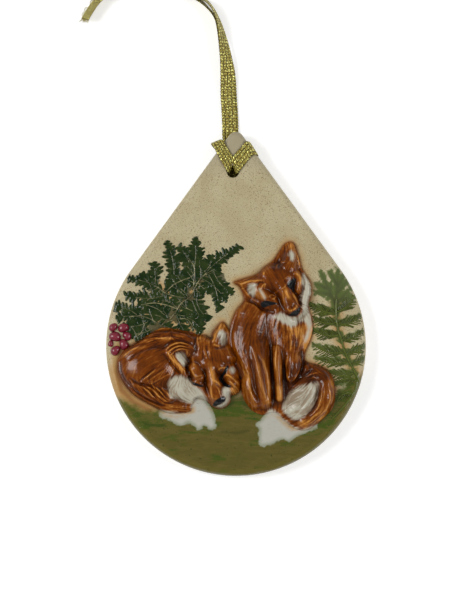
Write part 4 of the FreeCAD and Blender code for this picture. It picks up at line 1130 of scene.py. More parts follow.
def clay_material(choice):
    """Speckled satin stoneware, with amber bled into it, a mottled green ground and white slip."""
    material, w, place = new_material("Stoneware")
    clay, moss, earth, olive = choice.clay, choice.moss, choice.earth, choice.olive
    dusk, rust = tint(clay, 0.93, 0.90, 0.85), tint(choice.ochre, 0.55, 0.38, 0.3)
    deep = tint(moss, 0.35, 0.45, 0.4)

    # Bare clay, with specks of two sizes, and painted shade that darkens it towards the tip.
    speckle, pepper = w.specks(place, 2.2, 0.13, 0.13), w.specks(place, 4.2, 0.19, 0.9)
    colour = w.mix(speckle["Mottle"], dusk, tint(clay, 1.09))
    colour = w.mix(w.times(pepper["Mottle"], 0.22), colour, dusk)
    colour = w.mix(w.times(speckle["Specks"], 0.8), colour, choice.speckle)
    colour = w.mix(w.times(pepper["Specks"], 0.85), colour, choice.speckle)
    # Painted shade: greyer and darker over the last 12 mm before the tip.
    up = w.add("ShaderNodeSeparateXYZ", {0: place}).outputs[1]
    colour = w.mix(w.between(up, 33.0, 45.0), colour, tint(clay, 0.78, 0.77, 0.82))

    # Amber bled from the foxes and the stems, darker close to them.
    halo, near = w.layer("halo"), w.layer("near")
    bled = w.times(w.brushed(place, "halo", 1.1, 1.6, 0.35), w.between(halo, -1.0, 3.2, 0.45, 0.95))
    colour = w.mix(bled, colour, choice.ochre)
    colour = w.mix(w.between(halo, 1.9, 2.9, 0.0, 0.7), colour, rust)
    colour = w.mix(w.between(near, -0.7, 0.1, 0.0, 0.85), colour, rust)

    # Thin olive under the right sprig and dark green under the left one.
    leafy = w.mix(w.between(w.layer("wash"), 0.3, 1.3), olive, tint(olive, 0.45))
    colour = w.mix(w.times(w.brushed(place, "wash", 0.9, 0.35, 0.9), 0.95), colour, leafy)
    colour = w.mix(w.times(w.brushed(place, "thicket", 1.0, 0.2, 0.8), 0.85), colour, tint(moss, 0.35))

    # The ground: streaks of moss and earth, pooled under the mould lines and thin at the rim.
    ground = w.brushed(place, "ground", 1.0, 1.3, 0.45)
    drawn = w.stretched(place, (0.35, 1.3, 1.0))
    streak = w.noise(drawn, 0.32, 5.0, 0.62)
    brown = w.plus(streak, w.between(w.layer("ground"), 1.5, 9.5, -0.06, 0.2))
    field = w.mix(w.between(brown, 0.53, 0.67), moss, earth)
    pale = w.between(w.noise(drawn, 0.8, 4.0, 0.6), 0.46, 0.62, 0.0, 0.65)
    field = w.mix(pale, field, tint(earth, 1.3, 1.25, 1.7))
    field = w.mix(w.times(w.specks(place, 1.1, 0.13, 0.28)["Specks"], 0.6), field, deep)
    field = w.mix(w.times(w.specks(place, 3.4, 0.16, 1.3)["Specks"], 0.4), field, choice.speckle)
    field = w.mix(w.layer("pool"), field, deep)
    field = w.mix(w.between(w.layer("edge"), 2.2, 0.6, 0.0, 0.6), field, tint(earth, 1.5))
    colour = w.mix(ground, colour, field)

    # White slip: scratched, smeared with amber by the foxes and greenish along its edge.
    snow = w.brushed(place, "snow", 0.6, 0.28, 0.8)
    scratch = w.noise(w.stretched(place, (0.5, 2.4, 1.0), 0.5), 1.3, 5.0, 0.65)
    slip = w.mix(w.between(scratch, 0.60, 0.74, 0.0, 0.5), choice.slip, tint(earth, 1.2))
    smear = w.times(w.between(near, -1.7, -0.1), w.between(streak, 0.42, 0.62, 0.0, 0.8))
    slip = w.mix(smear, slip, choice.ochre)
    slip = w.mix(w.between(w.layer("snow"), 1.3, 0.0, 0.0, 0.45), slip, tint(moss, 1.7))
    colour = w.mix(snow, colour, slip)

    # The back is bare, and glaze is smoother than clay.
    back = w.layer("back")
    colour = w.mix(back, colour, tint(clay, 0.97))
    glaze = w.group("Glaze surface", place, Ripple=0.55, Peel=0.25)
    rough = w.between(w.math("MAXIMUM", ground, snow), 0.0, 1.0, 0.46, 0.13)
    rough = w.plus(w.plus(rough, w.times(glaze["Sheen"], 0.08)), w.times(back, 0.3))
    grit = w.plus(w.times(pepper["Mottle"], 0.5), w.times(glaze["Height"], 0.5))
    finish_material(w, colour, rough, grit, 0.00006)
    return material


def fox_material(choice):
    """Glossy amber glaze: dark where it pools and pale where it breaks, over white slip and black."""
    material, w, place = new_material("Amber glaze")
    deep, amber, thin = (np.array(colour) for colour in (choice.deep, choice.amber, choice.thin))
    ramp = w.add("ShaderNodeValToRGB", {0: w.layer("tone")})
    stops = ramp.color_ramp.elements
    for position in (0.25, 0.5, 0.72):
        stops.new(position)
    mixed = (deep, deep * 0.68 + amber * 0.32, amber, amber * 0.72 + thin * 0.28, thin)
    for stop, colour in zip(stops, mixed):
        stop.color = (*colour, 1.0)
    blotch = w.specks(place, 1.4, 0.12, 0.4)["Mottle"]
    glazed = w.mix(w.times(blotch, 0.35), ramp.outputs[0], tint(amber, 0.45))
    stain = amber[[0, 1, 0]] * (1.0, 2.2, 0.12)
    slip = w.mix(w.between(w.layer("tone"), 0.55, 0.1, 0.0, 0.6), choice.white, stain)
    slip = w.mix(w.times(blotch, 0.25), slip, tint(choice.white, 0.72))
    colour = w.mix(w.layer("white"), glazed, slip)
    colour = w.mix(w.layer("black"), colour, choice.black)
    finish_glazed(w, place, colour, 0.8, 0.25, 0.12, 0.08, 0.00004, 0.25)
    return material


def sprig_material(name, leaf, tip, edge, vein):
    """Green slip on the leaves in two mottled tones, here and there another colour along their edges (pale
    wiped slip on the dark sprig, painted shade on the olive one), and pale stems."""
    material, w, place = new_material(name)
    patch = w.specks(place, 1.6, 0.14, 0.35)
    colour = w.mix(w.times(patch["Mottle"], 0.8), leaf, tip)
    colour = w.mix(w.times(patch["Specks"], 0.6), colour, tint(leaf, 0.4))
    wiped = w.between(w.noise(place, 0.55, 2.0), 0.42, 0.60)
    # Along the leaves' edges: pale wiped slip on the dark sprig, painted shade on the olive one.
    colour = w.mix(w.times(w.between(w.layer("leaf"), 0.09, 0.0), wiped), colour, edge)
    stem = w.times(w.between(w.layer("stem"), -0.04, 0.03), w.between(wiped, 0, 1, 0.3, 0.85))
    colour = w.mix(stem, colour, vein)
    finish_glazed(w, place, colour, 1.1, 0.3, 0.12, 0.12, 0.00008, 0.35)
    return material


def berry_material(choice):
    """Glossy crimson slip, dark at the foot of each bead and with a painted highlight at its top."""
    material, w, place = new_material("Crimson slip")
    berry, rise = choice.berry, w.layer("rise")
    colour = w.mix(w.specks(place, 2.4, 0.12, 0.9)["Mottle"], berry, tint(berry, 1.5))
    colour = w.mix(w.between(rise, 0.5, 0.0), colour, tint(berry, 0.35))
    # Painted highlight: paler, pinker crimson on the top of each bead.
    colour = w.mix(w.between(rise, 0.6, 1.0, 0.0, 0.5), colour, [v * 1.6 + 0.04 for v in berry])
    finish_glazed(w, place, colour, 0.9, 0.2, 0.16, 0.1, 0.00004)
    return material


def ribbon_material(choice):
    """Knitted metallic yarn: gold on the stitches, brown painted shade between them, and painted glints."""
    material, w, place = new_material("Gold ribbon")
    cloth = w.add("ShaderNodeUVMap", uv_map="Cloth").outputs[0]
    knit = w.group("Knitted band", cloth, Wale=choice.wale / MM, Stitch=choice.stitch / MM)
    # Painted shade: the yarn darkens to the shade colour between stitches and wales.
    colour = w.mix(knit["Height"], choice.shade, choice.gold)
    wear = w.times(w.specks(place, 1.8, 0.16, 0.35)["Mottle"], 0.3)
    colour = w.mix(wear, colour, tint(choice.gold, 0.6))
    # Painted glints: near-white gold where Glint is high on the yarn.
    spark = w.times(knit["Glint"], knit["Height"])
    colour = w.mix(spark, colour, [min(1.0, v * 2.7 + 0.18) for v in choice.gold])
    height = w.plus(knit["Height"], w.times(w.noise(cloth, 5.0, 2.0), 0.35))
    finish_material(w, colour, w.between(knit["Glint"], 0.0, 1.0, 0.5, 0.3), height, 0.00014,
                    metal=w.between(spark, 0.0, 1.0, 0.35, 0.6))
    return material


def rim_depth(x, y):
    """How far in from the teardrop's edge a place lies, in millimetres: the disc's radius less the
    distance from its centre, or beside a flank less the reach along the flank's normal, and
    above the flanks the tip's radius less the distance from its centre."""
    across, up = np.abs(x), y - DISC_Y
    cos, sin = math.cos(FLANK_LEAN), math.sin(FLANK_LEAN)
    climb = up * cos - across * sin
    depth = DISC_R - np.where(climb < 0, np.hypot(across, up), across * cos + up * sin)
    tip = TIP_R - np.hypot(across, y - TIP_CENTRE_Y)
    return np.where(climb > (APEX_RISE - TIP_R / sin) * cos, tip, depth)


def plaque_edge(count):
    """Points round the teardrop, in millimetres, with their outward normals: an arc of the disc, a
    straight flank, the small arc of the tip and the other flank, spaced evenly along the edge."""
    flank = APEX_RISE * math.cos(FLANK_LEAN) - TIP_R / math.tan(FLANK_LEAN)
    full, disc_turn = 2 * math.pi, math.pi + 2 * FLANK_LEAN
    marks = np.cumsum([0, DISC_R * disc_turn, flank, TIP_R * (full - disc_turn), flank])
    s = np.arange(count) / count * marks[-1]
    turn = FLANK_LEAN - np.interp(s, marks, [0, disc_turn, disc_turn, full, full])
    normal = np.column_stack([np.cos(turn), np.sin(turn)])
    slope = np.column_stack([-normal[:, 1], normal[:, 0]])
    disc = (s < marks[2])[:, None]
    arc = np.where(disc, [0.0, DISC_Y] + DISC_R * normal, [0.0, TIP_CENTRE_Y] + TIP_R * normal)
    straight = np.clip(s - np.where(s < marks[2], marks[1], marks[3]), 0, None)
    return arc - slope * straight[:, None], normal


def lifted(points):
    """The height of the back, in millimetres: flat, and near the tip eased up as a circle is."""
    past = np.clip(points[:, 1] - (TIP_Y / MM - EASE_LENGTH), 0, None)
    return EASE_R - np.sqrt(EASE_R**2 - past**2)


def plaque_surface(choice):
    """The slab as one closed grid of rings: out from the hole over the face, round the thrown
    edge, down the wall, in over the back and up the hole. A ring is the edge's outline moved in along
    its normals, or a share of the way from the hole's rim to it. The face swells by slow waves. The
    kind is 0 on the face and its edges, up to 1 on the back."""
    edge, normal = plaque_edge(PLAQUE_COLUMNS)
    inner = edge - normal * FRONT_EDGE_R
    out = (inner - HOLE) / np.hypot(*(inner - HOLE).T)[:, None]
    bore, rim = HOLE + out * HOLE_R, HOLE + out * (HOLE_R + HOLE_EDGE_R)
    back = edge - normal * BACK_EDGE_R
    bore_foot = lifted(rim) + HOLE_EDGE_R
    quarter = math.pi / 2
    rings = []
    for a in np.linspace(quarter, 0, HOLE_ROUND_RINGS + 1):
        rings.append((bore + out * HOLE_EDGE_R * (1 - math.sin(a)),
                      SLAB_T - HOLE_EDGE_R * (1 - math.cos(a)), 0.0))
    for t in np.linspace(0, 1, FACE_RINGS + 1)[1:]:
        points = rim + (inner - rim) * t**FACE_CROWDING
        swell = wander(points[:, 0], points[:, 1], 3, FACE_SWELL_LENGTH) * choice.wander / MM
        rings.append((points, SLAB_T - FACE_SINK + swell * min(1, 6 * t, 12 * (1 - t)), 0.0))
    for a in np.linspace(0, quarter, FRONT_ROUND_RINGS + 1)[1:]:
        rings.append((edge - normal * FRONT_EDGE_R * (1 - math.sin(a)),
                      SLAB_T - FRONT_EDGE_R * (1 - math.cos(a)), 0.0))
    for t in np.linspace(0, 1, WALL_RINGS + 1)[1:]:
        rings.append((edge, (SLAB_T - FRONT_EDGE_R) * (1 - t) + (lifted(edge) + BACK_EDGE_R) * t, 0.35 * t))
    for a in np.linspace(0, quarter, BACK_ROUND_RINGS + 1)[1:]:
        points = edge - normal * BACK_EDGE_R * (1 - math.cos(a))
        rings.append((points, lifted(points) + BACK_EDGE_R * (1 - math.sin(a)), 1.0))
    for t in np.linspace(0, 1, BACK_RINGS + 1)[1:]:
        points = back + (rim - back) * t
        rings.append((points, lifted(points), 1.0))
    for a in np.linspace(0, quarter, HOLE_ROUND_RINGS + 1)[1:]:
        rings.append((bore + out * HOLE_EDGE_R * (1 - math.sin(a)),
                      lifted(rim) + HOLE_EDGE_R * (1 - math.cos(a)), 0.6))
    for t in np.linspace(0, 1, BORE_RINGS + 1)[1:-1]:
        rings.append((bore, (SLAB_T - HOLE_EDGE_R) * t + bore_foot * (1 - t), 0.3))
    flat, heights, kinds = zip(*rings)
    return (np.stack(flat), np.stack([np.broadcast_to(z, PLAQUE_COLUMNS) for z in heights]),
            np.repeat(kinds, PLAQUE_COLUMNS).reshape(-1, PLAQUE_COLUMNS))


def spread(x, y, fronds, width, taper):
    """How deep a place lies in the stain round straight fronds: the width, less the taper times the
    share of the way to the tip, less the distance."""
    depth = np.full(x.shape, -99.0)
    for base, tip, *_ in fronds:
        distance, share, _ = along_line(x, y, (base, tip))
        depth = np.maximum(depth, width - taper * share - distance)
    return depth


def build_plaque(choice):
    """The slab, its glazed ground, its raised drifts of white slip, the fine mould lines and the
    beads along the rim. Lines and beads are bell curves that fade at both ends as share (1 - share)."""
    flat, z, kind = plaque_surface(choice)
    x = PLAQUE_MIDDLE_PX[0] + flat[..., 0] / PX_MM
    y = PLAQUE_MIDDLE_PX[1] - flat[..., 1] / PX_MM
    face = (kind == 0) & (z > SLAB_T - FRONT_EDGE_R * 0.6)
    ground = (y - np.interp(x, *np.array(GROUND_LINE_PX).T)) * PX_MM
    snow = deepest(x, y, LEFT_SNOW_PX, RIGHT_SNOW_PX) * PX_MM
    near = deepest(x, y, SITTING_OUTLINE_PX, SLEEPING_OUTLINE_PX)
    halo = np.maximum(near + FOX_HALO_PX, RUN_HALO_PX - along_line(x, y, OCHRE_RUN_PX)[0])
    for line in LEFT_STEMS_PX + RIGHT_STEMS_PX[:1]:
        halo = np.maximum(halo, STEM_HALO_PX - along_line(x, y, line)[0])
    wash = np.maximum(spread(x, y, RIGHT_LEAVES_PX, LEAF_WASH_PX, WASH_TAPER_PX),
                      spread(x, y, RIGHT_FRONDS_PX, FROND_WASH_PX, WASH_TAPER_PX))
    thicket = spread(x, y, LEFT_FRONDS_PX, THICKET_PX, THICKET_TAPER_PX)
    rise = SNOW_H * ease(snow, -0.3, 0.5) + SNOW_SWELL * wander(x, y, 21, 5.0) * ease(snow, 0, 1)
    rise = rise + GROUND_SWELL * wander(x, y, 33, 10.0) * ease(ground, -1, 2)
    pool = np.zeros(x.shape)
    for line in MOULD_LINES_PX:
        distance, share, _ = along_line(x, y, smooth_line(line, 5))
        fade = np.clip(10 * share * (1 - share), 0, 1)
        rise = rise + LINE_H * fade * bell(distance, MOULD_LINE_PX)
        below = along_line(x, y, smooth_line(np.array(line) + [0, POOL_DROP_PX], 5))[0]
        pool = np.maximum(pool, POOL_DARKNESS * fade * bell(below, POOL_PX))
    for line in RIM_BEADS_PX:
        distance, share, _ = along_line(x, y, smooth_line(line, 5))
        rise = rise + LINE_H * np.clip(4 * share * (1 - share), 0, 1) * bell(distance, RIM_BEAD_PX)
    layers = {"ground": np.where(kind > 0.5, -5, ground), "snow": np.where(face, snow, -5),
              "near": np.where(face, near, -9) * PX_MM, "thicket": np.where(face, thicket, -9) * PX_MM,
              "halo": halo * PX_MM, "wash": np.where(face, wash * PX_MM, -5), "pool": pool * face,
              "edge": np.where(kind > 0, 0, rim_depth(flat[..., 0], flat[..., 1])),
              "back": np.clip(kind * 2 - 0.4, 0, 1)}
    points = np.dstack([flat, z + np.where(face, rise, 0)]).reshape(-1, 3) * MM
    plaque = make_piece("ornament_plaque", points, [grid_faces(*z.shape, True)], layers)
    settle(plaque, clay_material(choice), "plaque", "stoneware", "plaque")


def relief_grid(outline, margin, step):
    """Photo columns and rows a step apart, over an outline and a margin round it, in pixels."""
    low, high = np.min(outline, 0) - margin, np.max(outline, 0) + margin
    return np.meshgrid(np.arange(low[0], high[0], step), np.arange(low[1], high[1], step))


def relief_piece(name, x, y, z, keep, layers, foot, material, slot):
    """A relief as one piece over a flat underside at the foot, with heights in millimetres. A cell
    of the grid is made where all four of its corners are kept."""
    keep = keep[:-1, :-1] & keep[1:, :-1] & keep[:-1, 1:] & keep[1:, 1:]
    rows, columns = keep.shape
    index, used = -np.ones(x.shape, int), np.zeros(x.shape, bool)
    for down, right in ((0, 0), (1, 0), (0, 1), (1, 1)):
        used[down:down + rows, right:right + columns] |= keep
    index[used] = np.arange(used.sum())
    corners = [index[:-1, :-1], index[1:, :-1], index[1:, 1:], index[:-1, 1:]]
    points = from_photo(np.column_stack([x[used], y[used], z[used]]))
    piece = make_piece("ornament_" + name, points, [np.stack([k[keep] for k in corners], -1)],
                       {layer: values[used] for layer, values in layers.items()}, foot=foot * MM)
    settle(piece, material, "plaque", slot, name)


def fox_relief(x, y, limbs, lines):
    """Heights of a fox over the plaque's face, in millimetres, and how pale its lines are. A limb
    is a round bank: its height times (1 - (distance / radius)^2.3), and banks meet in soft
    fillets. Ridges and creases are narrow bell curves along their lines."""
    z = np.full(x.shape, -1.0)
    for rows in limbs.values():
        distance, _, (radius, height) = along_line(x, y, smooth_line(rows, 5))
        z = soft_max(z, height * (1 - (distance / radius) ** LIMB_POWER), LIMB_FILLET)
    z = soft_max(z, FOX_SHEET_H, SHEET_FILLET)
    breaks = np.zeros(x.shape)
    for points, width, height, pale in lines:
        distance, share, _ = along_line(x, y, smooth_line(points, 4))
        line = np.clip(4 * share * (1 - share) + 0.12, 0, 1) ** 0.5 * bell(distance, width)
        z = z + height * line
        breaks = breaks + pale * line
    return z, breaks


def build_fox(name, choice):
    """One fox in relief, held under a rim that climbs from its outline as
    4.4 (1 - e^(-depth / 6))^0.8. Its glaze tone is pale on ridges and dark in hollows and at the
    foot: it follows the height less the same height blurred, close by and further off."""
    outline, limbs, lines, fur, whites, blacks, washes = FOX_TABLES[name]
    cells = MM / choice.cell
    x, y = relief_grid(outline, FOX_MARGIN_PX, choice.cell / MM / PX_MM)
    depth = depth_inside(x, y, outline)
    z, breaks = fox_relief(x, y, limbs, lines)
    flow_x, flow_y, strength = guided(x, y, fur)
    strands = (0.75 * combed(flow_x, flow_y, 7, 0.5, FINE_FUR_LENGTH * cells)
               + 0.45 * combed(flow_x, flow_y, 11, 1.2, COARSE_FUR_LENGTH * cells))
    z = soft_max(z, FOX_LEAST_H, 0.2) + strength * choice.fur_depth * strands
    rim = FOX_RIM_H * (1 - np.exp(-np.clip(depth, 0, None) / FOX_RIM_PX)) ** FOX_RIM_POWER
    z = soft_min(z, rim + np.minimum(depth, 0) * 0.6 + 0.03, 0.14)
    close = np.tanh((z - blurred(z, 0.35 * cells)) / 0.16)
    wide = np.tanh((z - blurred(z, 1.3 * cells)) / 0.7)
    tone = (0.40 - 0.16 * bell(depth - 1.2, 1.8) + 0.12 * close + 0.24 * wide + breaks
            + 0.19 * strands * np.clip(strength / 0.15, 0.4, 1.1))
    for shape, dark, soft in washes:
        tone = tone - dark * ease(depth_inside(x, y, shape), -soft, soft)
    stray = 0.7 * strands * np.clip(strength / 0.12, 0.3, 1.2)
    layers = {"tone": tone, "white": ease(deepest(x, y, *whites) + stray, -1.6, 2.6),
              "black": ease(deepest(x, y, *blacks) + 0.15 * strands, -0.5, 0.5)}
    material = bpy.data.materials.get("Amber glaze") or fox_material(choice)
    relief_piece(name, x, y, SLAB_T + np.clip(z, -0.2, None), (z > -0.18) & (depth > -1), layers,
                 SLAB_T - FOX_ROOT, material, "amber_glaze")


def leaflets(fronds, spacing, reach, slant, curl, uneven):
    """Short strokes on both sides of bowed ribs. A stroke leaves at the slant, bends by the curl
    to the tip, and is reach times 1 - 0.6 share^2 long, where share is its place along the rib.
    Length and slant vary by seeded noise."""
    strokes, ribs = [], []
    noise = np.random.default_rng(4)
    for base, tip, bow in fronds:
        run = np.subtract(tip, base).astype(float)
        length = np.hypot(*run)
        along = run / length
        across = np.array([-along[1], along[0]])

        def on_rib(share):
            """The place at a share of the rib, bowed sideways by 4 share (1 - share)."""
            return base + run * share + across * bow * 4 * share * (1 - share)

        rib = on_rib(np.linspace(0, 1, 5)[:, None])
        ribs.append(rib[:4])
        count = 2 * max(3, int(length / spacing))
        for k in range(count):
            side = 1 if k % 2 else -1
            share = (k + 0.8) / count
            stray = uneven * (2 * noise.random(2) - 1)
            size = reach * (1 - 0.6 * share**2) * min(1, 0.55 + 2.5 * share) * (1 + stray[0])
            turns = slant + 0.5 * stray[1] - curl * np.array([0.0, 1.0])
            steps = size / 2 * (np.outer(np.cos(turns), along) + side * np.outer(np.sin(turns), across))
            strokes.append(np.cumsum([on_rib(share), *steps], axis=0))
        strokes.append([rib[3], rib[4] + along * 1.2])
    return strokes, ribs


def stroke_depth(x, y, strokes, radius, swell=0.0, reach=2.5):
    """How deep each place of a grid lies in its nearest stroke: the radius, times
    1 + swell (sin(pi share) - 0.5), less the distance."""
    depth = np.full(x.shape, -reach)
    for stroke in strokes:
        line = smooth_line(stroke, 3)
        low, high = line.min(0) - radius - reach, line.max(0) + radius + reach
        rows = slice(*np.searchsorted(y[:, 0], (low[1], high[1])))
        columns = slice(*np.searchsorted(x[0], (low[0], high[0])))
        if rows.stop > rows.start and columns.stop > columns.start:
            distance, share, _ = along_line(x[rows, columns], y[rows, columns], line)
            wide = radius * (1 + swell * (np.sin(np.pi * share) - 0.5))
            depth[rows, columns] = np.maximum(depth[rows, columns], wide - distance)
    return depth


def rounded(depth, radius):
    """A quarter circle's height over a depth in from its edge, as a share of the radius."""
    return np.sqrt(np.clip(1 - (1 - np.clip(depth / radius, 0, 1)) ** 2, 0, 1))


def build_sprig(name, bound, fronds, stems, shape, material):
    """A low relief of leaves: a leaf's section is a quarter circle over its depth, and beside a
    leaf the sheet falls steeply under the plaque's face, where it ends."""
    spacing, reach, slant, curl, radius, swell, uneven, stem_radius, step, height = shape
    x, y = relief_grid(bound, 0, step)
    strokes, ribs = leaflets(fronds, spacing, reach, slant, curl, uneven)
    leaf = stroke_depth(x, y, strokes, radius, swell)
    stem = np.maximum(stroke_depth(x, y, stems, stem_radius), stroke_depth(x, y, ribs, stem_radius * 0.5))
    z = height * rounded(leaf, radius) * (0.8 + 0.35 * wander(x, y, 5, 9.0)) + 0.5 * np.minimum(leaf, 0)
    z = np.maximum(z, np.where(stem > 0, height * 0.8 + 0.22 * rounded(stem, stem_radius), 0.5 * stem))
    rim = rim_depth(*plaque_mm(x, y))
    face = SLAB_T - FRONT_EDGE_R * (1 - rounded(rim, FRONT_EDGE_R))
    keep = (depth_inside(x, y, bound) > 0) & (rim > SPRIG_FROM_RIM) & (z > -0.16)
    relief_piece(name, x, y, face + z, keep, {"leaf": leaf * PX_MM, "stem": stem * PX_MM},
                 SLAB_T - SPRIG_ROOT, material, "green_slip")


def build_berries(choice):
    """Seven beads. A bead is (r cos t cos u, r cos t sin u, h sin t) over the face, where r wavers
    with u, and its foot is sunk a little way in."""
    sides, rings = BERRY_GRID
    turn = np.linspace(0, 2 * np.pi, sides, endpoint=False)
    climb = np.linspace(-BERRY_SINK, np.pi / 2 * 0.97, rings)[:, None]
    ring = np.arange(sides)
    after, crown, top = np.roll(ring, -1), (rings - 1) * sides + ring, rings * sides
    faces = [grid_faces(rings, sides),
             np.column_stack([crown, np.roll(crown, -1), np.full(sides, top)]),
             np.column_stack([after, ring, np.full(sides, top + 1)])]
    rise = np.append(np.repeat(np.sin(climb[:, 0]), sides), [1.0, -0.3])
    parts = []
    for k, (across, up, size) in enumerate(BERRY_SHARES):
        centre = np.array([across * DISC_R, DISC_Y + up * DISC_R, SLAB_T])
        squash = 1.02 + 0.12 * np.sin(2 * turn + k) + 0.05 * np.sin(3 * turn + 2 * k)
        away = BERRY_R * size * squash * np.cos(climb)
        high = BERRY_H * size
        bead = np.dstack([away * np.cos(turn), away * np.sin(turn), high * np.sin(climb) + 0 * turn])
        poles = [[0, 0, high], [0, 0, high * math.sin(-BERRY_SINK)]]
        parts.append(((np.vstack([bead.reshape(-1, 3), poles]) + centre) * MM, faces, rise))
    points, faces, rises = joined(parts)
    piece = make_piece("ornament_berries", points, faces, {"rise": rises})
    settle(piece, berry_material(choice), "plaque", "red_slip", "berries")


def unit(vectors):
    """Directions: vectors divided by their own lengths."""
    return vectors / np.linalg.norm(vectors, axis=-1, keepdims=True)


def reach_along(line):
    """The length of a line of short runs up to each of its points."""
    return np.append(0, np.cumsum(np.linalg.norm(np.diff(line, axis=0), axis=1)))


def resampled(line, step=0.0002):
    """Points a step apart along a line of short runs."""
    reach = reach_along(line)
    marks = np.linspace(0, reach[-1], max(8, int(reach[-1] / step)))
    return np.column_stack([np.interp(marks, reach, column) for column in line.T])


def route_line(route):
    """Points 0.2 mm apart along the smooth NURBS line of a given route."""
    curve = bpy.data.curves.new("route", "CURVE")
    curve.dimensions = "3D"
    curve.resolution_u = 24
    spline = curve.splines.new("NURBS")
    spline.points.add(len(route) - 1)
    for point, (across, past, up) in zip(spline.points, route):
        point.co = (across, TIP_Y + past, up, 1)
    spline.order_u = 3
    spline.use_endpoint_u = True
    holder = bpy.data.objects.new("route", curve)
    mesh = bpy.data.meshes.new_from_object(holder)
    line = np.empty(len(mesh.vertices) * 3)
    mesh.vertices.foreach_get("co", line)
    bpy.data.objects.remove(holder)
    bpy.data.curves.remove(curve)
    bpy.data.meshes.remove(mesh)
    return resampled(line.reshape(-1, 3))


def frame_along(line, turn=0.0):
    """A ribbon's wide and thick directions: level and upright to its line, then turned about it."""
    along = unit(np.gradient(line, axis=0))
    side = unit(np.cross(UP, along))
    lift = np.cross(along, side)
    turn = np.broadcast_to(turn, len(line))[:, None]
    return side * np.cos(turn) + lift * np.sin(turn), lift * np.cos(turn) - side * np.sin(turn)


def band(choice, line, wide, thick, broad=1.0, heavy=1.0, wales=None):
    """A knitted band. Its section is a closed flat loop: each face bulges into rounded wales as a
    cosine of the place across, and both thins to its edges and scallops there with the stitches.
    Broad and heavy multiply its width and thickness."""
    wales = wales or round(choice.width / choice.wale)
    count = WALE_POINTS * wales + 1
    u = np.linspace(-1, 1, count)
    reach = reach_along(line)
    wave = 1 + SCALLOP * np.sin(2 * np.pi * reach / choice.stitch)
    half = np.sqrt(1 - EDGE_THINNING * u**4) - WALE_BULGE * np.cos(np.pi * wales * (u + 1))
    half *= choice.thickness * heavy / 2
    across = np.concatenate([u, u[::-1]]) * (choice.width * broad / 2)
    height = np.concatenate([half, -half[::-1]])
    grid = (line[:, None, :] + wide[:, None, :] * across[None, :, None] * wave[:, None, None]
            + thick[:, None, :] * height[None, :, None])
    places = np.dstack(np.broadcast_arrays(across / MM, reach[:, None] / MM))
    last = (len(line) - 1) * 2 * count
    k = np.arange(count - 1)
    cap = np.stack([k, k + 1, 2 * count - 2 - k, 2 * count - 1 - k], -1)
    blocks = [grid_faces(len(line), 2 * count), cap[:, ::-1], cap + last]
    return grid.reshape(-1, 3), blocks, places.reshape(-1, 2)


def yarn(points, radius):
    """A loose filament: a round section of this radius carried along a smooth line, thinner at
    both ends as the root of share (1 - share)."""
    line = resampled(smooth_line(points, 8), YARN_STEP)
    line[:, 2] = np.maximum(line[:, 2], radius + YARN_CLEARANCE)
    wide, thick = frame_along(line)
    count, sides = len(line), YARN_SIDES
    turn = np.linspace(0, 2 * np.pi, sides, endpoint=False)[None, :, None]
    share = np.linspace(0, 1, count)
    taper = np.sqrt(np.clip(share * (1 - share) * 30, 0.05, 1))
    grid = line[:, None, :] + radius * taper[:, None, None] * (
        wide[:, None, :] * np.cos(turn) + thick[:, None, :] * np.sin(turn))
    reach = np.linspace(0, count * 0.25, count)[:, None]
    places = np.dstack(np.broadcast_arrays(np.full(sides, 0.5), reach))
    k = np.arange(sides)
    blocks = [grid_faces(count, sides), np.stack([k, (count - 1) * sides + k[::-1]])]
    return grid.reshape(-1, 3), blocks, places.reshape(-1, 2)


def woven(name, parts, material, body, *nodes):
    """One ribbon piece from its bands and filaments."""
    points, blocks, places = joined(parts)
    piece = make_piece(name, points, blocks, None, places)
    return settle(piece, material, body, "gold_ribbon", *nodes)


def build_strands(choice, material):
    """Both strands of the loop on one route. They lie on each other at the tip, turn on edge
    together, part for a while, turn partly back and narrow into the knot."""
    across, _, up = STRAND_ROUTE[0]
    line = route_line([(across, -STRAND_HIDDEN, up)] + STRAND_ROUTE)
    share = np.linspace(0, 1, len(line))
    turn = STRAND_TWIST * ease(share, *STRAND_TWIST_SHARES)
    turn -= STRAND_RELAX * ease(share, *STRAND_RELAX_SHARES)
    low, high = STRAND_OPEN_SHARES
    parted = STRAND_GAP * np.sin(np.pi * np.clip((share - low) / (high - low), 0, 1)) ** 2
    gather = 1 - STRAND_GATHER * ease(share, *STRAND_GATHER_SHARES)[:, None]
    wide, thick = frame_along(line, turn)
    made = []
    for name, layer in (("upper", 1), ("lower", -1)):
        gap = layer * ((choice.thickness + LAYER_GAP) / 2 + parted)
        shift = layer * STRAND_SHIFT * (1 - turn / STRAND_TWIST)
        path = line + thick * gap[:, None] + wide * shift[:, None]
        parts = [band(choice, path, wide * gather, thick)]
        piece = woven(f"ribbon_{name}", parts, material, None, f"ribbon_strand_{name}")
        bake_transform(piece)
        made.append((piece, path))
    return made


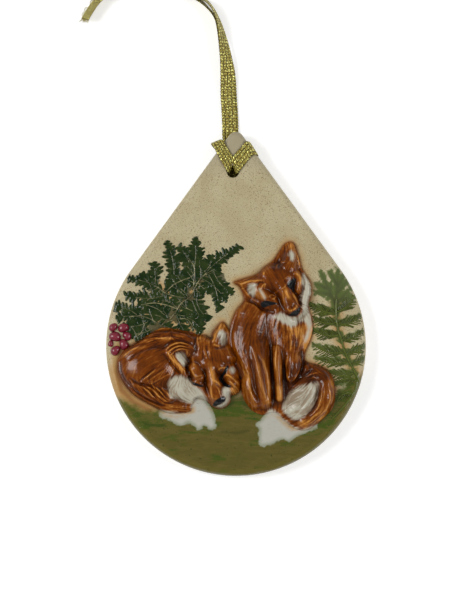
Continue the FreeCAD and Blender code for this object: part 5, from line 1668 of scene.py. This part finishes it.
def build_knot(choice, material):
    """An overhand knot: a band gathered to half its width winds two and a half times about the
    strands, from one end of the knot to the other, with a turn laid over it on the slant. The two
    gathered strands run on through it to the tails."""
    low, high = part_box("ribbon_knot")
    centre = (np.array(low) + np.array(high)) / 2
    axis = unit(np.array(KNOT_AXIS))
    side = np.cross(UP, axis)
    t = np.linspace(0, 1, KNOT_POINTS)
    parts = []
    for start, turns, swell, span, tilt in KNOT_BANDS:
        angle = (start + 2 * np.pi * turns * t)[:, None]
        radius = KNOT_R * swell * (KNOT_ENDS + (1 - KNOT_ENDS) * np.sin(np.pi * t))[:, None]
        run = ((t - 0.5) * span)[:, None] + tilt * np.cos(angle)
        spoke = side * np.cos(angle) + UP * np.sin(angle)
        path = centre + axis * run + spoke * radius
        wide = unit(np.cross(np.gradient(path, axis=0), spoke))
        parts.append(band(choice, path, wide, spoke, *KNOT_WRAP))
    for across, past, up in (NEAR_TAIL_ROUTE[0], FAR_TAIL_ROUTE[0]):
        core = route_line([KNOT_ENTRY, STRAND_ROUTE[-1], (across, past, up),
                           (across - KNOT_CORE_PAST, past, up)])
        parts.append(band(choice, core, *frame_along(core, KNOT_CORE_TURN), *KNOT_CORE))
    return woven("ribbon_overhand_knot", parts, material, "ribbon_loop", "ribbon_knot")


def build_tails(choice, material):
    """The two cut ends past the knot, with frayed filaments at the cut and pulled loops beside it."""
    made = []
    for name, route, turn in (("near", NEAR_TAIL_ROUTE, NEAR_TAIL_TURN), ("far", FAR_TAIL_ROUTE, 0.0)):
        line = route_line(route)
        wide, thick = frame_along(line, turn)
        parts = [band(choice, line, wide, thick)]
        rng = np.random.default_rng(17)
        along = unit(line[-1] - line[-8])
        for share in np.linspace(-0.9, 0.9, FRAY_COUNT):
            foot = line[-4] + wide[-1] * share * choice.width / 2
            bend = rng.uniform(-FRAY_BEND, FRAY_BEND, (2, 3)) * [1, 1, 0.4]
            reach = rng.uniform(*FRAY_LENGTHS)
            middle = foot + along * reach * 0.5 + bend[0] * 0.6
            parts.append(yarn([foot, middle, foot + along * reach + bend[1]], FRAY_R))
        for share in PULLED_SHARES:
            k = int(share * len(line))
            foot = line[k] - wide[k] * choice.width * 0.48
            loop = -wide[k] * rng.uniform(*PULLED_LENGTHS)
            parts.append(yarn([foot, foot + loop + along * 0.0004, foot + loop * 0.7 + along * 0.0012,
                               foot + along * 0.0014], PULLED_R))
        made.append(woven(f"ribbon_end_{name}", parts, material, "ribbon_loop", f"ribbon_tail_{name}"))
    return made


def build_hitch(choice, material):
    """The bight round the tip as a band ruled between two given edges, with the two strands
    that run from the hole to the tip behind it."""
    lower = smooth_line(from_photo(HITCH_LOWER_PX), 14)
    upper = smooth_line(from_photo(HITCH_UPPER_PX), 14)
    line, wide = (lower + upper) / 2, lower - upper
    thick = unit(np.cross(np.gradient(line, axis=0), wide))
    parts = [band(choice, line, wide / choice.width, thick)]
    under = smooth_line(from_photo(UNDER_TIP_PX), 30)
    level, up = frame_along(under)
    for layer in (1, -1):
        path = under + up * layer * UNDER_GAP + level * layer * STRAND_SHIFT
        parts.append(band(choice, path, level, up))
    return woven("ribbon_bight", parts, material, "plaque", "ribbon_hitch")


def build_stage(choice):
    """The camera over the photograph's middle, two soft lamps, a pale floor and a pale wall."""
    scene = bpy.context.scene
    scene.view_settings.view_transform = "Standard"
    target = from_photo([*PHOTO_MIDDLE_PX, SLAB_T])
    away = np.array([0, -math.cos(choice.elevation), math.sin(choice.elevation)])
    data = bpy.data.cameras.new("photo_camera")
    camera = bpy.data.objects.new("photo_camera", data)
    camera.location = target + away * choice.distance
    camera.rotation_euler = (math.pi / 2 - choice.elevation, 0, 0)
    data.sensor_width = SENSOR_MM
    data.lens = SENSOR_MM * choice.distance / (PHOTO_SIZE_PX[1] * PX)
    data.clip_start = 0.01
    scene.collection.objects.link(camera)
    scene.camera = camera
    for name, place, side, share in LAMPS:
        lamp = bpy.data.lights.new(name, "AREA")
        lamp.shape = "SQUARE"
        lamp.size = side
        lamp.energy = choice.lamp_power * share
        holder = bpy.data.objects.new(name, lamp)
        holder.location = place
        holder.rotation_euler = mathutils.Vector(target - place).to_track_quat("-Z", "Y").to_euler()
        scene.collection.objects.link(holder)
    scene.world = bpy.data.worlds.new("studio")
    scene.world.use_nodes = True
    scene.world.node_tree.nodes.clear()
    w = Wiring(scene.world.node_tree)
    glow = w.add("ShaderNodeBackground", {"Color": (1, 1, 1, 1), "Strength": choice.sky})
    w.add("ShaderNodeOutputWorld", {"Surface": glow.outputs[0]})
    floor = np.array([(-1, -1, 0), (1, -1, 0), (1, 1, 0), (-1, 1, 0)]) * FLOOR_REACH
    turn = np.linspace(0, 2 * np.pi, WALL_SIDES, endpoint=False)
    ring = np.column_stack([np.cos(turn), np.sin(turn), 0 * turn]) * WALL_R
    wall = np.vstack([ring, ring + [0, 0, WALL_H]])
    for name, points, faces, sink, body, pale, dim in (
            ("floor", floor, np.arange(4)[None], FLOOR_SINK, 0.9, 0.42, 0.0),
            ("wall", wall, grid_faces(2, WALL_SIDES), 0.0, 0.0, 1.0, choice.sky)):
        mesh = bpy.data.meshes.new(name)
        mesh.from_pydata(points, [], faces.tolist())
        piece = bpy.data.objects.new(name, mesh)
        piece.location.z = -sink
        material, w, place = new_material("Pale " + name)
        path = w.add("ShaderNodeLightPath").outputs
        seen = w.math("ADD", w.plus(path["Is Camera Ray"], path["Is Glossy Ray"]),
                      path["Is Transmission Ray"], clamp=True)
        apart = w.add("ShaderNodeVectorMath", {0: place}, operation="LENGTH").outputs["Value"]
        far = w.between(apart, *FAR_MM, pale, max(pale, FAR_LIGHT))
        strength = w.add("ShaderNodeMapRange", {"Value": seen, "To Min": dim, "To Max": far}).outputs[0]
        shader = w.add("ShaderNodeBsdfPrincipled", {
            "Base Color": (body, body, body), "Roughness": 1.0, "Specular IOR Level": 0.0,
            "Emission Color": (1, 1, 1), "Emission Strength": strength})
        w.add("ShaderNodeOutputMaterial", {"Surface": shader.outputs[0]})
        mesh.materials.append(material)
        scene.collection.objects.link(piece)


class ORNAMENT_OT_stage(bpy.types.Operator):
    """Sets the camera, the lamps and the pale surroundings"""

    bl_idname = "ornament.stage"
    bl_label = "Stage"

    def execute(self, context):
        build_stage(context.scene.ornament_stage)
        return {"FINISHED"}


class ORNAMENT_OT_ribbon(bpy.types.Operator):
    """Makes the ribbon: its loop, knot and tails, and the bight round the tip"""

    bl_idname = "ornament.ribbon"
    bl_label = "Ribbon"

    def execute(self, context):
        choice = context.scene.ornament_ribbon
        material = ribbon_material(choice)
        strands = build_strands(choice, material)
        ends = [build_knot(choice, material)] + build_tails(choice, material)
        ends.append(build_hitch(choice, material))
        return {"FINISHED"}


class ORNAMENT_OT_plaque(bpy.types.Operator):
    """Makes the stoneware plaque with its ground and its drifts of white slip"""

    bl_idname = "ornament.plaque"
    bl_label = "Plaque"

    def execute(self, context):
        build_plaque(context.scene.ornament_clay)
        return {"FINISHED"}


class ORNAMENT_OT_foxes(bpy.types.Operator):
    """Makes the sitting and the sleeping fox"""

    bl_idname = "ornament.foxes"
    bl_label = "Foxes"

    def execute(self, context):
        for name in FOX_TABLES:
            build_fox(name, context.scene.ornament_fox)
        return {"FINISHED"}


class ORNAMENT_OT_sprigs(bpy.types.Operator):
    """Makes the two evergreen sprigs and the berries"""

    bl_idname = "ornament.sprigs"
    bl_label = "Sprigs and berries"

    def execute(self, context):
        choice = context.scene.ornament_sprig
        dark = sprig_material("Dark green slip", choice.dark, choice.tip, choice.vein, choice.vein)
        # The olive sprig's leaf edges take the shadow colour: painted shade along the leaves' flanks.
        pale, shadow, stem = (tint(choice.needle, k) for k in (1.7, 0.3, 1.9))
        needle = sprig_material("Olive slip", choice.needle, pale, shadow, stem)
        build_sprig("evergreen_left", LEFT_BOUND_PX, LEFT_FRONDS_PX, LEFT_STEMS_PX, LEFT_LEAVES, dark)
        build_sprig("evergreen_right", RIGHT_BOUND_PX, RIGHT_FRONDS_PX, RIGHT_STEMS_PX, RIGHT_LEAVES,
                    needle)
        build_berries(choice)
        return {"FINISHED"}


class ORNAMENT_PT_panel(bpy.types.Panel):
    """Lists the steps in the order in which they run"""

    bl_idname = "ORNAMENT_PT_panel"
    bl_label = "Fox ornament"
    bl_space_type = "VIEW_3D"
    bl_region_type = "UI"
    bl_category = "Ornament"

    def draw(self, context):
        column = self.layout.column()
        for operator in OPERATORS:
            column.operator(operator.bl_idname)
        for name in SETTINGS:
            group = getattr(context.scene, name)
            column.separator()
            for key in group.__annotations__:
                column.prop(group, key)


OPERATORS = (ORNAMENT_OT_stage, ORNAMENT_OT_ribbon, ORNAMENT_OT_plaque, ORNAMENT_OT_foxes,
             ORNAMENT_OT_sprigs)
SETTINGS = {
    "ornament_stage": OrnamentStage,
    "ornament_ribbon": OrnamentRibbon,
    "ornament_clay": OrnamentClay,
    "ornament_fox": OrnamentFox,
    "ornament_sprig": OrnamentSprig,
}
CLASSES = tuple(SETTINGS.values()) + OPERATORS + (ORNAMENT_PT_panel,)


def register():
    for item in CLASSES:
        bpy.utils.register_class(item)
    for name, group in SETTINGS.items():
        setattr(bpy.types.Scene, name, bpy.props.PointerProperty(type=group))


def unregister():
    for name in SETTINGS:
        delattr(bpy.types.Scene, name)
    for item in reversed(CLASSES):
        bpy.utils.unregister_class(item)


def main():
    """Makes every piece in order."""
    register()
    bpy.ops.ornament.stage()
    bpy.ops.ornament.ribbon()
    bpy.ops.ornament.plaque()
    bpy.ops.ornament.foxes()
    bpy.ops.ornament.sprigs()


if __name__ == "__main__":
    main()
